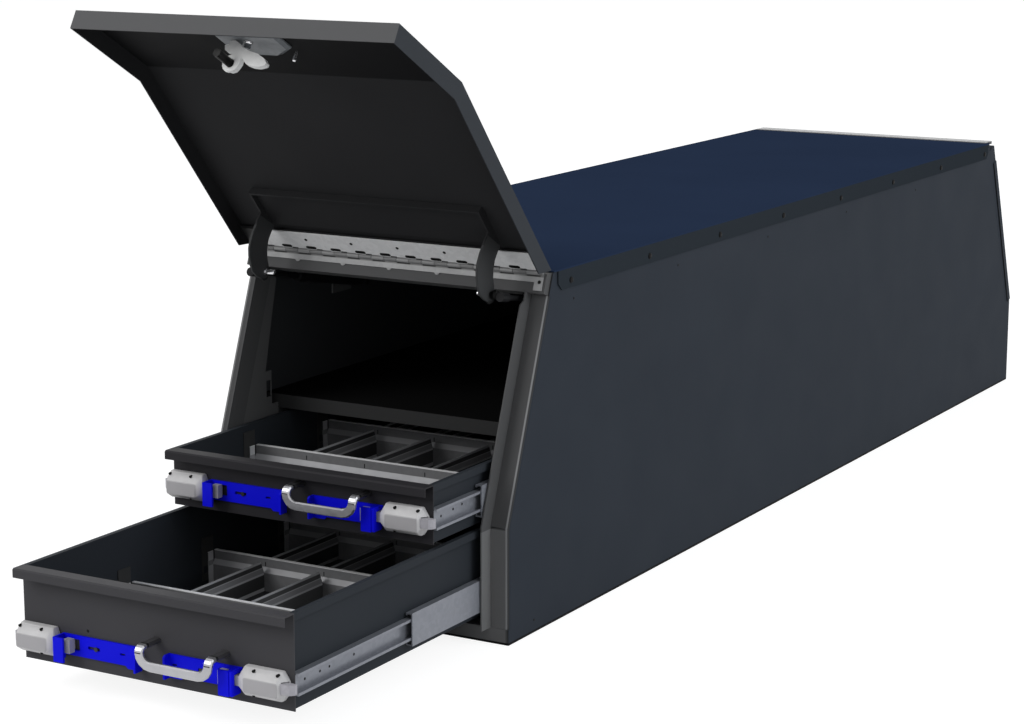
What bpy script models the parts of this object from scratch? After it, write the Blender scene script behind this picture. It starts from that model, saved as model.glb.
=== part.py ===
"""Truck bed drawer toolbox: a long chest with a kinked front lid over two drawers and a rear door.

Metres, +X right across the chest, +Y back along it, +Z up, origin on the floor pan's underside at
the middle of the chest. Everything is modelled shut, then the carriers that hold the moving pieces
are set to the open pose: lid up, both drawers drawn out.
"""

from math import atan2, cos, hypot, pi, radians, sin

import bmesh
import bpy
from mathutils import Matrix, Vector

# Chest
WIDTH = 0.500
LENGTH = 2.032
HEIGHT = 0.500
KINK_HEIGHT = 0.164
FRONT_LEAN = 0.123
REAR_LEAN = 0.131
SHEET = 0.002
BASE_SHEET = 0.003
GAP = 0.0003
OVERRUN = 0.005
FRONT = -1
REAR = 1

# Shell
BEND_RADIUS = 0.005
POST_FACE = 0.028
MITRE_SLIT = 0.0012
SILL_HEIGHT = 0.022
SILL_DEPTH = 0.030
ROOF_FLANGE = 0.029
ROOF_CORNER = 0.010
ROOF_BEND = 0.0015
PAN_FLANGE = 0.025
UPSTAND = 0.024
UPSTAND_ROOT = 0.013
POST_FOOT = 0.022
HEADER_OUT = 0.0125
HEADER_DROP = 0.0345
HEADER_IN = 0.014
HEADER_LEDGE = 0.015
SIDE_RUN = 0.0015

# Drawer bay
BAY_INSET = 0.0287
BAY_HALF = WIDTH / 2 - BAY_INSET
BAY_LENGTH = 1.300
BAY_SETBACK = 0.013
SHELF_SETBACK = 0.134
SHELF_HEIGHT = 0.275
SHELF_LIP = 0.020
STRIP_FOOT = (0.0945, 0.314)
STRIP_HEAD = (0.138, 0.462)
STRIP_TURN_SHARE = 0.2
STRIKE_TAB = (0.118, 0.263)
STRIKE_SLOT = (0.012, 0.025)
STRIKE_SLOT_FRONT = 0.105
STRIKE_SLOT_LOW = 0.275

# Rear end
DOOR_DEPTH = 0.0245
DOOR_TOP_DROP = 0.008
REAR_WINDOW_EDGE = 0.045
REAR_FLANGE = 0.008

REAR_LATCH_RADIUS = 0.016
REAR_LATCH_OUT = 0.012
REAR_LATCH_UP = 0.066
REAR_SPINDLE = 0.004
REAR_CAM = (0.012, 0.022, 0.003)

# Front hinge
PIN_DROP = 0.0074
PIN_OUT = 0.016
KNUCKLE_RADIUS = 0.0032
PIN_RADIUS = 0.0014
LEAF_SHEET = 0.0015
HINGE_INSET = 0.006
HINGE_HALF = WIDTH / 2 - HINGE_INSET
LEAF_LONG = 0.037
LEAF_SHORT = 0.0125
LEAF_TAB = 0.024
LEAF_TAB_WIDTH = 0.013
KNUCKLE_PITCH = 0.042
HINGE_GAP_SHARE = 0.52

# Front lid
LID_OPEN = radians(119.5)
LID_OUT = 0.027
LID_DEPTH = 0.026
LID_BOTTOM = 0.0015
LID_TOP_DROP = 0.0025
LID_END_DEPTH = 0.0105
LID_END_DROP = 0.0083
LID_TAPER = 0.022
LID_RETURN = 0.043

# Strut lever and gas struts
LEVER_INSET = 0.064
LEVER_X = WIDTH / 2 - LEVER_INSET
LEVER_SHEET = 0.003
LEVER_BASE = (0.048, 0.120)
LEVER_FLANGE = 0.011
STUD_RADIUS_FROM_PIN = 0.056
STUD_ANGLE = radians(-80.4)
LEVER_ARM = 0.022
LEVER_OUTER = 0.080
LEVER_INNER = 0.042
STUD_LENGTH = 0.0075
STUD_RADIUS = 0.004
STRUT_INSET = 0.043
STRUT_X = WIDTH / 2 - STRUT_INSET
ROD_RADIUS = 0.004
CYLINDER_RADIUS = 0.0085
BORE_RADIUS = 0.0048
FITTING_RADIUS = 0.0065
ANCHOR_UP = 0.0473
ANCHOR_IN = 0.2862
CYLINDER_LENGTH = 0.160
CYLINDER_EYE = 0.018
ROD_IN_CYLINDER = 0.022
ANCHOR_PLATE = (0.050, 0.040)

# Lid latch, on the inside of the lid's lower wall
LATCH_PLATE_X = (-0.054, 0.0445)
LATCH_PLATE_Z = (0.040, 0.100)
LATCH_PLATE_DISH = 0.0042
LATCH_CHAMFER = (0.026, 0.020)
RIVET_PLACE = (-0.017, 0.071)
RIVET_RADIUS = 0.0045
RIVET_RISE = 0.004
CLAW_CENTRE = (-0.0255, 0.050)
CLAW_REACH = 0.0368
CLAW_SPAN = 0.0615
CLAW_SHARES = (
    (-0.127, -0.239), (-0.163, -0.345), (-0.070, -0.387), (-0.047, -0.444), (0.075, -0.462), (0.202, -0.398),
    (0.325, -0.309), (0.509, -0.241), (0.714, -0.193), (0.915, -0.089), (1.000, 0.002), (0.985, 0.059),
    (0.833, 0.102), (0.662, 0.093), (0.501, 0.050), (0.426, -0.010), (0.351, -0.083), (0.341, -0.044),
    (0.338, 0.033), (0.309, 0.109), (0.254, 0.195), (0.159, 0.229), (0.021, 0.198), (-0.049, 0.145),
    (0.007, 0.158), (0.140, 0.174), (0.202, 0.102), (0.208, 0.000), (0.150, -0.111), (0.068, -0.164),
    (-0.005, -0.192), (-0.073, -0.208))
CLAW_HEIGHT = 0.008
CLAW_HUB_RADIUS = 0.012
CLAW_HUB_HEIGHT = 0.003
BARREL_RADIUS = 0.0057
BARREL_PAST_CLAW = 0.024
FOOT_WIDTH = 0.009
FOOT_HEIGHT = 0.0045
PADDLE = (0.076, 0.050)
PADDLE_OUT = 0.007

# Drawers
DRAWER_INSET = 0.0093
DRAWER_HALF = BAY_HALF - DRAWER_INSET
RAIL_INSET = 0.006
DRAWER_SIDE = DRAWER_HALF - RAIL_INSET
DRAWER_SHEET = 0.0015
DRAWER_LENGTH = 1.150
RIM_OUT = 0.020
RIM_DROP = 0.0125
RIM_FOLD = 0.010
SLIDE_CENTRE_UP = 0.034
OUTER_SLIDE = (0.053, 0.0100)
MIDDLE_SLIDE = (0.0445, 0.0100)
INNER_SLIDE = (0.0286, 0.0100)
SLIDE_SHEET = 0.0018
MIDDLE_SLIDE_X = 0.0085
SLIDE_LENGTH = 1.050
MIDDLE_SHARE = 0.515
DIVIDER_HEIGHT = 0.047
DIVIDER_PITCH = 0.187
DIVIDER_SHEET = 0.0012
DIVIDER_COUNT = 3
DIVIDER_HEM = 0.006
DIVIDER_STEP = 0.005
LEDGE_UP = (0.0265, 0.0340)
LONG_SHARES = (0.221, 0.464, 0.710)
LONG_DROP = 0.0028
LONG_SHORT = 0.012
FLANGE_FRONT = 0.011
BRACKET_FRONT = 0.0235
BRACKET_BACK = 0.0030
BRACKET_FOOT = 0.0065
BRACKET_RISE = 0.0225
BRACKET_SLOT = (0.0200, 0.0115)
BRACKET_SLOT_UP = (0.0167, 0.0277)

# Latches, drawn for the right-hand side of a drawer face
CASE_WIDTH = 0.068
CASE_HALF_HEIGHT = 0.0190
CASE_DEPTH = 0.020
CASE_BASE = 0.008
CASE_CORNER = 0.013
CASE_RISE_INSET = 0.0100
CASE_SIDE_INSET = 0.0035
CASE_SCREW = 0.0020
LATCH_UP = 0.0315
BOLT_HALF_HEIGHT = 0.0065
BOLT_FRONT = 0.0155
BOLT_BACK = 0.0050
BOLT_INSET = 0.0019
BOLT_TIP = BAY_HALF - BOLT_INSET
TAIL_HALF_HEIGHT = 0.0090
TAIL_LENGTH = 0.0105
TAIL_SETBACK = 0.0215
TONGUE = (0.0060, 0.0130)
LEVER_GAUGE = 0.003
LEVER_BOTTOM = 0.0165
LEVER_TOP = 0.044
LEVER_TAB = (0.024, 0.0035)
LEVER_FINGER_X = 0.0217
FINGER_OUT = 0.014
HOOK_BOTTOM = 0.011
HOOK_OUT = 0.0225
HOOK_WIDTH = 0.016
WINDOW = (0.018, 0.015)
WINDOW_SETBACK = 0.028
SLOT_SIZE = (0.0190, 0.0042)
SLOT_SETBACK = 0.0415
SLOT_UP = 0.0305
NOTCH = (0.008, 0.0028)
NOTCH_SETBACK = 0.093
STUD_PIN_RADIUS = 0.0016
STUD_HEAD_RADIUS = 0.0030
STUD_HEAD = 0.0012
LATCH_THROW = 0.0034
LEVER_PAST_HOOK = 0.006

# Handle, placed on the drawer face
HANDLE_X = (0.0030, 0.1095)
HANDLE_LEG_UP = 0.0577
HANDLE_OUT = 0.036
HANDLE_BAR_UP = 0.0355
HANDLE_BAND = (0.0125, 0.0065)
BAND_SHARES = ((-1, -0.4), (-0.75, -1), (0.75, -1), (1, -0.4), (1, 0.4), (0.75, 1), (-0.75, 1), (-1, 0.4))
HANDLE_KNEE = 0.0070
HANDLE_CORNER = 0.0165

DRAWERS = {
    "lower": {"bottom": 0.037, "height": 0.1245, "shut": 0.075, "drawn": 0.526, "cross": 0.204},
    "upper": {"bottom": 0.169, "height": 0.0810, "shut": 0.100, "drawn": 0.231, "cross": 0.1764},
}
LEFT_CASE_INSET = 0.061
LEFT_HOOK_INSET = 0.065
RIGHT_CASE_INSET = 0.073
RIGHT_HOOK_INSET = 0.083
LATCHES = {
    "left": {"case": DRAWER_HALF - LEFT_CASE_INSET, "hook": DRAWER_HALF - LEFT_HOOK_INSET},
    "right": {"case": DRAWER_HALF - RIGHT_CASE_INSET, "hook": DRAWER_HALF - RIGHT_HOOK_INSET},
}


def clear_scene():
    for item in list(bpy.data.objects):
        bpy.data.objects.remove(item, do_unlink=True)


# Materials

def finish(name, colour, roughness, metallic):
    made = bpy.data.materials.get(name)
    if made:
        return made
    made = bpy.data.materials.new(name)
    made.use_nodes = True
    shader = made.node_tree.nodes["Principled BSDF"]
    shader.inputs["Base Color"].default_value = (*colour, 1)
    shader.inputs["Roughness"].default_value = roughness
    shader.inputs["Metallic"].default_value = metallic
    made.diffuse_color = (*colour, 1)
    return made


def charcoal():
    return finish("charcoal_paint", (0.030, 0.032, 0.036), 0.5, 0.0)


def roof_blue():
    return finish("roof_paint", (0.020, 0.028, 0.060), 0.5, 0.0)


def galvanised():
    return finish("galvanised_steel", (0.30, 0.31, 0.33), 0.4, 0.9)


def cast_grey():
    return finish("latch_case_grey", (0.38, 0.37, 0.37), 0.5, 0.2)


def lever_blue():
    return finish("lever_blue", (0.010, 0.012, 0.80), 0.45, 0.0)


def chrome():
    return finish("handle_chrome", (0.65, 0.65, 0.67), 0.2, 1.0)


def black():
    return finish("black_paint", (0.010, 0.010, 0.011), 0.5, 0.0)


# Points in the YZ plane of an end of the chest

def lean_of(end):
    return FRONT_LEAN if end == FRONT else REAR_LEAN


def face_path(end, bottom):
    """The kinked line of an end face, from the bottom up."""
    foot = end * LENGTH / 2
    return [(foot, bottom), (foot, KINK_HEIGHT), (foot - end * lean_of(end), HEIGHT)]


def offset(path, distance, end):
    """The path moved outward, mitred at its kink."""
    normals = []
    for (y0, z0), (y1, z1) in zip(path, path[1:]):
        run = hypot(y1 - y0, z1 - z0)
        normals.append((end * (z1 - z0) / run, end * (y0 - y1) / run))
    moved = []
    for i, (y, z) in enumerate(path):
        before = normals[max(i - 1, 0)]
        after = normals[min(i, len(normals) - 1)]
        scale = distance / (1 + before[0] * after[0] + before[1] * after[1])
        moved.append((y + scale * (before[0] + after[0]), z + scale * (before[1] + after[1])))
    return moved


def slope(drop, out, end=FRONT):
    """A point on the leaning face: so far down it from the top corner and so far out of it."""
    lean = lean_of(end)
    rise = HEIGHT - KINK_HEIGHT
    run = hypot(lean, rise)
    down = (end * lean / run, -rise / run)
    outward = (end * rise / run, lean / run)
    top = (end * (LENGTH / 2 - lean), HEIGHT)
    return (top[0] + drop * down[0] + out * outward[0], top[1] + drop * down[1] + out * outward[1])


def at_height(height, out, end=FRONT):
    """A point at this height on the leaning face's line, moved outward."""
    rise = HEIGHT - KINK_HEIGHT
    run = hypot(lean_of(end), rise)
    base = slope(0, out, end)
    drop = (base[1] - height) * run / rise
    return slope(drop, out, end)


def turned(point, centre, angle):
    y, z = point[0] - centre[0], point[1] - centre[1]
    return (centre[0] + y * cos(angle) - z * sin(angle), centre[1] + y * sin(angle) + z * cos(angle))


# Solids

def piece_from(name, vertices, faces, material):
    mesh = bpy.data.meshes.new(name)
    mesh.from_pydata([tuple(v) for v in vertices], [], faces)
    mesh.update()
    shape = bmesh.new()
    shape.from_mesh(mesh)
    bmesh.ops.recalc_face_normals(shape, faces=shape.faces)
    if shape.calc_volume(signed=True) < 0:
        bmesh.ops.reverse_faces(shape, faces=shape.faces)
    shape.to_mesh(mesh)
    shape.free()
    mesh.materials.append(material)
    piece = bpy.data.objects.new(name, mesh)
    bpy.context.scene.collection.objects.link(piece)
    return piece


def prism(name, outline, low, high, axis, material):
    """An outline in the two other axes, in their order, drawn along one axis."""
    place = {"X": lambda a, p: (a, p[0], p[1]), "Y": lambda a, p: (p[0], a, p[1]),
             "Z": lambda a, p: (p[0], p[1], a)}[axis]
    count = len(outline)
    vertices = [place(low, p) for p in outline] + [place(high, p) for p in outline]
    faces = [list(range(count)), list(range(count, 2 * count))]
    faces += [[i, (i + 1) % count, count + (i + 1) % count, count + i] for i in range(count)]
    return piece_from(name, vertices, faces, material)


def block(name, x, y, z, material):
    return prism(name, [(x[0], y[0]), (x[1], y[0]), (x[1], y[1]), (x[0], y[1])], z[0], z[1], "Z", material)


def lofted(name, rings, material):
    """Rings of equal point counts joined in a row, closed at both ends."""
    count = len(rings[0])
    vertices = [p for ring in rings for p in ring]
    faces = [list(range(count)), list(range(len(vertices) - count, len(vertices)))]
    for r in range(len(rings) - 1):
        for i in range(count):
            j = (i + 1) % count
            faces.append([r * count + i, r * count + j, (r + 1) * count + j, (r + 1) * count + i])
    return piece_from(name, vertices, faces, material)


def swept(name, profile, path, end, material):
    """A profile of (x, outward) points drawn along the kinked line of an end face."""
    lines = [(x, offset(path, out, end)) for x, out in profile]
    rings = [[(x, *line[i]) for x, line in lines] for i in range(len(path))]
    return lofted(name, rings, material)


def rod(name, start, finish_point, radius, sides, material):
    """A round bar between two points, shaded smooth."""
    start, finish_point = Vector(start), Vector(finish_point)
    along = (finish_point - start).normalized()
    side = along.orthogonal().normalized()
    up = along.cross(side)
    rings = []
    for centre in (start, finish_point):
        ring = [centre + radius * (cos(2 * pi * i / sides) * side + sin(2 * pi * i / sides) * up)
                for i in range(sides)]
        rings.append(ring)
    return smooth(lofted(name, rings, material))


def smooth(piece, angle=radians(35)):
    piece.data.shade_smooth()
    piece.data.set_sharp_from_angle(angle=angle)
    return piece


def combine(piece, others, operation):
    """Cuts the others from the piece or joins them to it, and removes them."""
    for other in others:
        change = piece.modifiers.new("change", "BOOLEAN")
        change.operation = operation
        change.solver = "EXACT"
        change.object = other
    graph = bpy.context.evaluated_depsgraph_get()
    changed = bpy.data.meshes.new_from_object(piece.evaluated_get(graph))
    piece.modifiers.clear()
    piece.data = changed
    for other in others:
        bpy.data.objects.remove(other, do_unlink=True)
    return piece


def carve(piece, *others):
    return combine(piece, others, "DIFFERENCE")


def weld(piece, *others):
    return combine(piece, others, "UNION")


def mirrored(piece, name):
    """A copy of the piece on the other side of the chest's middle plane."""
    mesh = piece.data.copy()
    mesh.transform(Matrix.Scale(-1, 4, (1, 0, 0)))
    mesh.flip_normals()
    mesh.name = name
    made = bpy.data.objects.new(name, mesh)
    bpy.context.scene.collection.objects.link(made)
    return made


def folded(name, faces, outward, thickness, material):
    """Sheet metal from its outer surface: faces of points, thickened inward."""
    shape = bmesh.new()
    for face in faces:
        shape.faces.new([shape.verts.new(p) for p in face])
    bmesh.ops.remove_doubles(shape, verts=shape.verts, dist=GAP / 10)
    shape.faces.ensure_lookup_table()
    bmesh.ops.recalc_face_normals(shape, faces=shape.faces)
    if shape.faces[0].normal.dot(Vector(outward)) < 0:
        bmesh.ops.reverse_faces(shape, faces=shape.faces)
    mesh = bpy.data.meshes.new(name)
    shape.to_mesh(mesh)
    shape.free()
    mesh.materials.append(material)
    piece = bpy.data.objects.new(name, mesh)
    bpy.context.scene.collection.objects.link(piece)
    gauge = piece.modifiers.new("gauge", "SOLIDIFY")
    gauge.thickness = thickness
    gauge.offset = -1
    gauge.use_even_offset = True
    graph = bpy.context.evaluated_depsgraph_get()
    thick = bpy.data.meshes.new_from_object(piece.evaluated_get(graph))
    piece.modifiers.clear()
    piece.data = thick
    return piece


def strips(rows):
    """Quads between neighbouring rows of points."""
    return [[a[i], a[i + 1], b[i + 1], b[i]] for a, b in zip(rows, rows[1:]) for i in range(len(a) - 1)]


# Carriers of the moving pieces

class Carrier:
    """An empty on a joint's axis, modelled shut at one point and set open at another."""

    def __init__(self, name, shut, moved=(0, 0, 0), tilt=0):
        self.shut = Vector(shut)
        self.empty = bpy.data.objects.new(name, None)
        self.empty.location = self.shut + Vector(moved)
        self.empty.rotation_euler.x = tilt
        bpy.context.scene.collection.objects.link(self.empty)

    def take(self, *pieces):
        for piece in pieces:
            piece.data.transform(Matrix.Translation(-self.shut))
            piece.parent = self.empty


# The chest

def floor_pan():
    half = WIDTH / 2
    plate = block("floor_pan", (-half, half), (-LENGTH / 2, LENGTH / 2), (0, BASE_SHEET), black())
    inner = half - SHEET - SIDE_RUN
    walls = [block("wall", (x, x + SHEET), (-LENGTH / 2 + SILL_DEPTH + SHEET, LENGTH / 2 - SILL_DEPTH),
                   (BASE_SHEET - GAP, PAN_FLANGE), black()) for x in (-inner, inner - SHEET)]
    return weld(plate, *walls)


def front_sill():
    """A folded sill under the drawer opening."""
    foot = -LENGTH / 2
    low = BASE_SHEET + GAP
    outline = [(foot, low), (foot, SILL_HEIGHT), (foot + SILL_DEPTH, SILL_HEIGHT),
               (foot + SILL_DEPTH, low + SHEET), (foot + SILL_DEPTH - SHEET, low + SHEET),
               (foot + SILL_DEPTH - SHEET, SILL_HEIGHT - SHEET), (foot + SHEET, SILL_HEIGHT - SHEET),
               (foot + SHEET, low)]
    half = WIDTH / 2 - SHEET - GAP
    return prism("front_sill", outline, -half, half, "X", charcoal())


def side_panel():
    """The right-hand side sheet with its front edge folded into the post's face."""
    x = WIDTH / 2
    low = BASE_SHEET + GAP
    top = HEIGHT - SHEET - 2 * GAP
    steps = 3
    front = face_path(FRONT, SILL_HEIGHT + GAP)
    head = slope(HEADER_DROP + GAP, 0)
    front[-1] = head
    rows = []
    for i in range(steps + 1):
        angle = pi / 2 * i / steps
        line = offset(front, -BEND_RADIUS * (1 - sin(angle)), FRONT)
        rows.append([(x - BEND_RADIUS * (1 - cos(angle)), *p) for p in line])
    flat = x - POST_FACE + GAP
    lower = [(flat, front[0][0], front[0][1]), (flat, front[1][0], KINK_HEIGHT - MITRE_SLIT)]
    above = slope(hypot(FRONT_LEAN, HEIGHT - KINK_HEIGHT) - MITRE_SLIT, 0)
    upper = [(flat, *above), (flat, *front[2])]
    last = rows[-1]
    faces = strips(rows)
    faces.append([last[0], last[1], lower[1], lower[0]])
    faces.append([last[1], last[2], upper[1], upper[0]])
    edge = rows[0]
    rear_foot = LENGTH / 2
    inset = at_height(KINK_HEIGHT, -DOOR_DEPTH - GAP, REAR)
    outline = [(x, -LENGTH / 2, low), (x, -LENGTH / 2, SILL_HEIGHT + GAP), edge[0], edge[1], edge[2],
               (x, *head), (x, *at_height(top, 0)), (x, *at_height(top, -DOOR_DEPTH - GAP, REAR)),
               (x, *inset), (x, rear_foot, KINK_HEIGHT), (x, rear_foot, low)]
    faces.insert(0, outline)
    return weld(folded("side_panel_right", faces, (1, 0, 0), SHEET, charcoal()), strut_anchor())


def roof_panel():
    """The roof sheet with its folded side flanges, their corners cut."""
    half = WIDTH / 2 + SHEET + GAP
    front = -LENGTH / 2 + FRONT_LEAN
    rear = at_height(HEIGHT, -DOOR_DEPTH - GAP, REAR)[0]
    low = HEIGHT - ROOF_FLANGE
    faces = [[(-half + ROOF_BEND, front, HEIGHT), (half - ROOF_BEND, front, HEIGHT),
              (half - ROOF_BEND, rear, HEIGHT), (-half + ROOF_BEND, rear, HEIGHT)]]
    for s in (-1, 1):
        top = [(s * (half - ROOF_BEND), y, HEIGHT) for y in (front, rear)]
        bend = [(s * half, y, HEIGHT - ROOF_BEND) for y in (front + ROOF_CORNER, rear - ROOF_CORNER)]
        faces.append([top[0], top[1], bend[1], bend[0]])
        faces.append([bend[0], bend[1], (s * half, bend[1][1], low + ROOF_CORNER),
                      (s * half, bend[1][1] - ROOF_CORNER, low),
                      (s * half, bend[0][1] + ROOF_CORNER, low), (s * half, bend[0][1], low + ROOF_CORNER)])
    return folded("roof_panel", faces, (0, 0, 1), SHEET, roof_blue())


def front_header():
    """The channel over the opening, which carries the hinge and the roof's front edge."""
    top = HEIGHT - SHEET - 2 * GAP
    ledge = -LENGTH / 2 + FRONT_LEAN + HEADER_LEDGE
    outline = [at_height(top, HEADER_OUT), slope(HEADER_DROP, HEADER_OUT), slope(HEADER_DROP, -HEADER_IN),
               slope(HEADER_DROP - SHEET, -HEADER_IN), slope(HEADER_DROP - SHEET, HEADER_OUT - SHEET),
               at_height(top - SHEET, HEADER_OUT - SHEET), (ledge, top - SHEET), (ledge, top)]
    half = WIDTH / 2 - SHEET - GAP
    channel = prism("front_header", outline, -half, half, "X", charcoal())
    end = [outline[0], outline[1], outline[2], outline[7]]
    closed = [prism("end", end, *sorted((s * half, s * (half - SHEET))), "X", charcoal()) for s in (-1, 1)]
    return weld(channel, *closed)


def front_post():
    """The right-hand post: a gutter upstand with a flange behind the side panel's face."""
    seam = WIDTH / 2 - POST_FACE
    back = -SHEET - GAP
    flange = WIDTH / 2 - BEND_RADIUS - GAP
    profile = [(seam - SHEET, UPSTAND), (seam, UPSTAND), (seam, back), (flange, back),
               (flange, back - SHEET), (seam, back - SHEET), (seam, -UPSTAND_ROOT), (seam - SHEET, -UPSTAND_ROOT)]
    path = face_path(FRONT, POST_FOOT + GAP)
    path[-1] = slope(HEADER_DROP + GAP, 0)
    return carve(swept("front_post_right", profile, path, FRONT, charcoal()), hinge_relief(seam))


def hinge_relief(seam):
    """The room at the upstand's head for the shut lid's return and its hinge leaf."""
    root = PIN_OUT + KNUCKLE_RADIUS - LEAF_SHEET - SIDE_RUN
    tip = UPSTAND + OVERRUN
    high = HEADER_DROP - OVERRUN
    low = LID_TOP_DROP + LID_RETURN + SIDE_RUN
    corners = [slope(high, root), slope(low, root), slope(low + tip - root, tip), slope(high, tip)]
    return prism("relief", corners, seam - SHEET - OVERRUN, seam + OVERRUN, "X", charcoal())


def rear_lower_panel():
    """The fixed rear wall under the door, with its ledge forward to the door frame."""
    rear = LENGTH / 2
    low = BASE_SHEET + GAP
    ledge = at_height(KINK_HEIGHT, -DOOR_DEPTH - GAP, REAR)[0]
    top = KINK_HEIGHT - 2 * GAP - SHEET
    outline = [(rear, low), (rear, top), (ledge, top), (ledge, top - SHEET), (rear - SHEET, top - SHEET),
               (rear - SHEET, low)]
    half = WIDTH / 2 - SHEET - GAP
    return prism("rear_lower_panel", outline, -half, half, "X", charcoal())


def rear_frame():
    """The frame that the rear door shuts on, with a flange round its window."""
    outside = -DOOR_DEPTH - GAP
    half = WIDTH / 2 - SHEET - GAP
    low = at_height(KINK_HEIGHT, outside, REAR)
    high = at_height(HEIGHT - SHEET - 2 * GAP, outside, REAR)
    run = hypot(high[0] - low[0], high[1] - low[1])
    down = Vector((0, low[0] - high[0], low[1] - high[1])) / run
    inward = Vector((0, *slope(0, 0, REAR))) - Vector((0, *slope(0, 1, REAR)))

    def plate(name, x, reach, depth):
        start = Vector((0, *high))
        outline = [start + down * reach[0] + inward * depth[0], start + down * reach[1] + inward * depth[0],
                   start + down * reach[1] + inward * depth[1], start + down * reach[0] + inward * depth[1]]
        return prism(name, [(p.y, p.z) for p in outline], x[0], x[1], "X", charcoal())

    edge = REAR_WINDOW_EDGE
    frame = plate("rear_frame", (-half, half), (0, run), (0, SHEET))
    ring = plate("ring", (-half + edge - SHEET, half - edge + SHEET), (edge - SHEET, run - edge + SHEET),
                 (SHEET / 2, REAR_FLANGE))
    window = plate("window", (-half + edge, half - edge), (edge, run - edge), (-OVERRUN, REAR_FLANGE + OVERRUN))
    return carve(weld(frame, ring), window)


def bay_wall():
    """The right-hand wall of the drawer bay: its front strip runs up to the header past the shelf."""
    front = offset(face_path(FRONT, BASE_SHEET + GAP), -BAY_SETBACK - GAP, FRONT)
    head = slope(HEADER_DROP + GAP, -BAY_SETBACK - GAP)
    foot = -LENGTH / 2
    lip_front = foot + SHELF_SETBACK - GAP
    lip_back = foot + SHELF_SETBACK + SHEET + GAP
    lip_low = SHELF_HEIGHT - SHELF_LIP - GAP
    under = SHELF_HEIGHT - SHEET - GAP
    rear = foot + SHELF_SETBACK + BAY_LENGTH
    tab = foot + STRIKE_TAB[0]
    edge = STRIP_FOOT[0] + (STRIP_HEAD[0] - STRIP_FOOT[0]) * STRIP_TURN_SHARE
    sill = foot + SILL_DEPTH + GAP
    low = SILL_HEIGHT + GAP
    outline = [(sill, front[0][1]), (sill, low), (front[0][0], low), front[1], head,
               (foot + STRIP_HEAD[0], STRIP_HEAD[1]), (foot + edge, STRIP_FOOT[1]), (tab, STRIP_FOOT[1]), (tab, STRIKE_TAB[1]),
               (lip_front, STRIKE_TAB[1]), (lip_front, lip_low), (lip_back, lip_low), (lip_back, under),
               (rear, under), (rear, front[0][1])]
    wall = prism("bay_wall_right", outline, BAY_HALF, BAY_HALF + SHEET, "X", charcoal())
    across = (BAY_HALF - OVERRUN, BAY_HALF + OVERRUN)
    start = foot + STRIKE_SLOT_FRONT
    cuts = [block("slot", across, (start, start + STRIKE_SLOT[0]),
                  (STRIKE_SLOT_LOW, STRIKE_SLOT_LOW + STRIKE_SLOT[1]), charcoal())]
    for spec in DRAWERS.values():
        middle = foot + spec["shut"] - (BOLT_FRONT + BOLT_BACK) / 2
        height = spec["bottom"] + LATCH_UP
        cuts.append(block("slot", across, (middle - STRIKE_SLOT[0] / 2, middle + STRIKE_SLOT[0] / 2),
                          (height - STRIKE_SLOT[1] / 2, height + STRIKE_SLOT[1] / 2), charcoal()))
    return carve(wall, *cuts)


def shelf():
    """The floor of the upper compartment, with a lip in front."""
    front = -LENGTH / 2 + SHELF_SETBACK
    rear = at_height(SHELF_HEIGHT, -DOOR_DEPTH - SHEET - REAR_FLANGE - SIDE_RUN, REAR)[0]
    outline = [(front, SHELF_HEIGHT), (front, SHELF_HEIGHT - SHELF_LIP), (front + SHEET, SHELF_HEIGHT - SHELF_LIP),
               (front + SHEET, SHELF_HEIGHT - SHEET), (rear, SHELF_HEIGHT - SHEET), (rear, SHELF_HEIGHT)]
    half = WIDTH / 2 - SHEET - SIDE_RUN
    return prism("shelf", outline, -half, half, "X", charcoal())


# The front hinge and lid

def pin_point():
    return slope(PIN_DROP, PIN_OUT)


def leaf_outline(reach, side):
    """A hinge leaf and its rolled knuckle, in (drop, out), the plate on one side of the pin."""
    inner = KNUCKLE_RADIUS - LEAF_SHEET
    steps = 9
    stop = 1.58 * pi
    points = [(reach, KNUCKLE_RADIUS)]
    for i in range(steps + 1):
        angle = pi / 2 + stop * i / steps
        points.append((KNUCKLE_RADIUS * cos(angle), KNUCKLE_RADIUS * sin(angle)))
    for i in range(steps, -1, -1):
        angle = pi / 2 + stop * i / steps
        points.append((inner * cos(angle), inner * sin(angle)))
    points.append((reach, inner))
    return [slope(PIN_DROP + u, PIN_OUT + side * s) for u, s in points]


def knuckle_cuts(first, side):
    """Gaps in a leaf where the other leaf's knuckles and their slots lie."""
    width = KNUCKLE_PITCH * HINGE_GAP_SHARE
    reach = KNUCKLE_RADIUS + LEAF_SHEET
    corners = [slope(PIN_DROP + u, PIN_OUT + s) for u, s in ((-reach, -reach), (reach, -reach), (reach, reach),
                                                              (-reach, reach))]
    cuts = []
    start = -HINGE_HALF + first * KNUCKLE_PITCH / 2 - (width - KNUCKLE_PITCH / 2) / 2
    while start < HINGE_HALF:
        cuts.append(prism("gap", corners, start, start + width, "X", galvanised()))
        start += KNUCKLE_PITCH
    return cuts


def hinge_lid_leaf():
    leaf = prism("hinge_lid_leaf", leaf_outline(LEAF_LONG, 1), -HINGE_HALF, HINGE_HALF, "X", galvanised())
    return carve(leaf, *knuckle_cuts(1, 1))


def hinge_frame_leaf():
    """The frame's leaf, whose tabs at both ends reach down the header."""
    leaf = prism("hinge_frame_leaf", leaf_outline(LEAF_TAB, -1), -HINGE_HALF, HINGE_HALF, "X", galvanised())
    corners = [slope(PIN_DROP + u, PIN_OUT + s) for u, s in
               ((LEAF_SHORT, -LEAF_TAB), (LEAF_TAB + OVERRUN, -LEAF_TAB), (LEAF_TAB + OVERRUN, 0), (LEAF_SHORT, 0))]
    inner = HINGE_HALF - LEAF_TAB_WIDTH
    middle = prism("middle", corners, -inner, inner, "X", galvanised())
    return carve(leaf, middle, *knuckle_cuts(0, -1))


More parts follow.
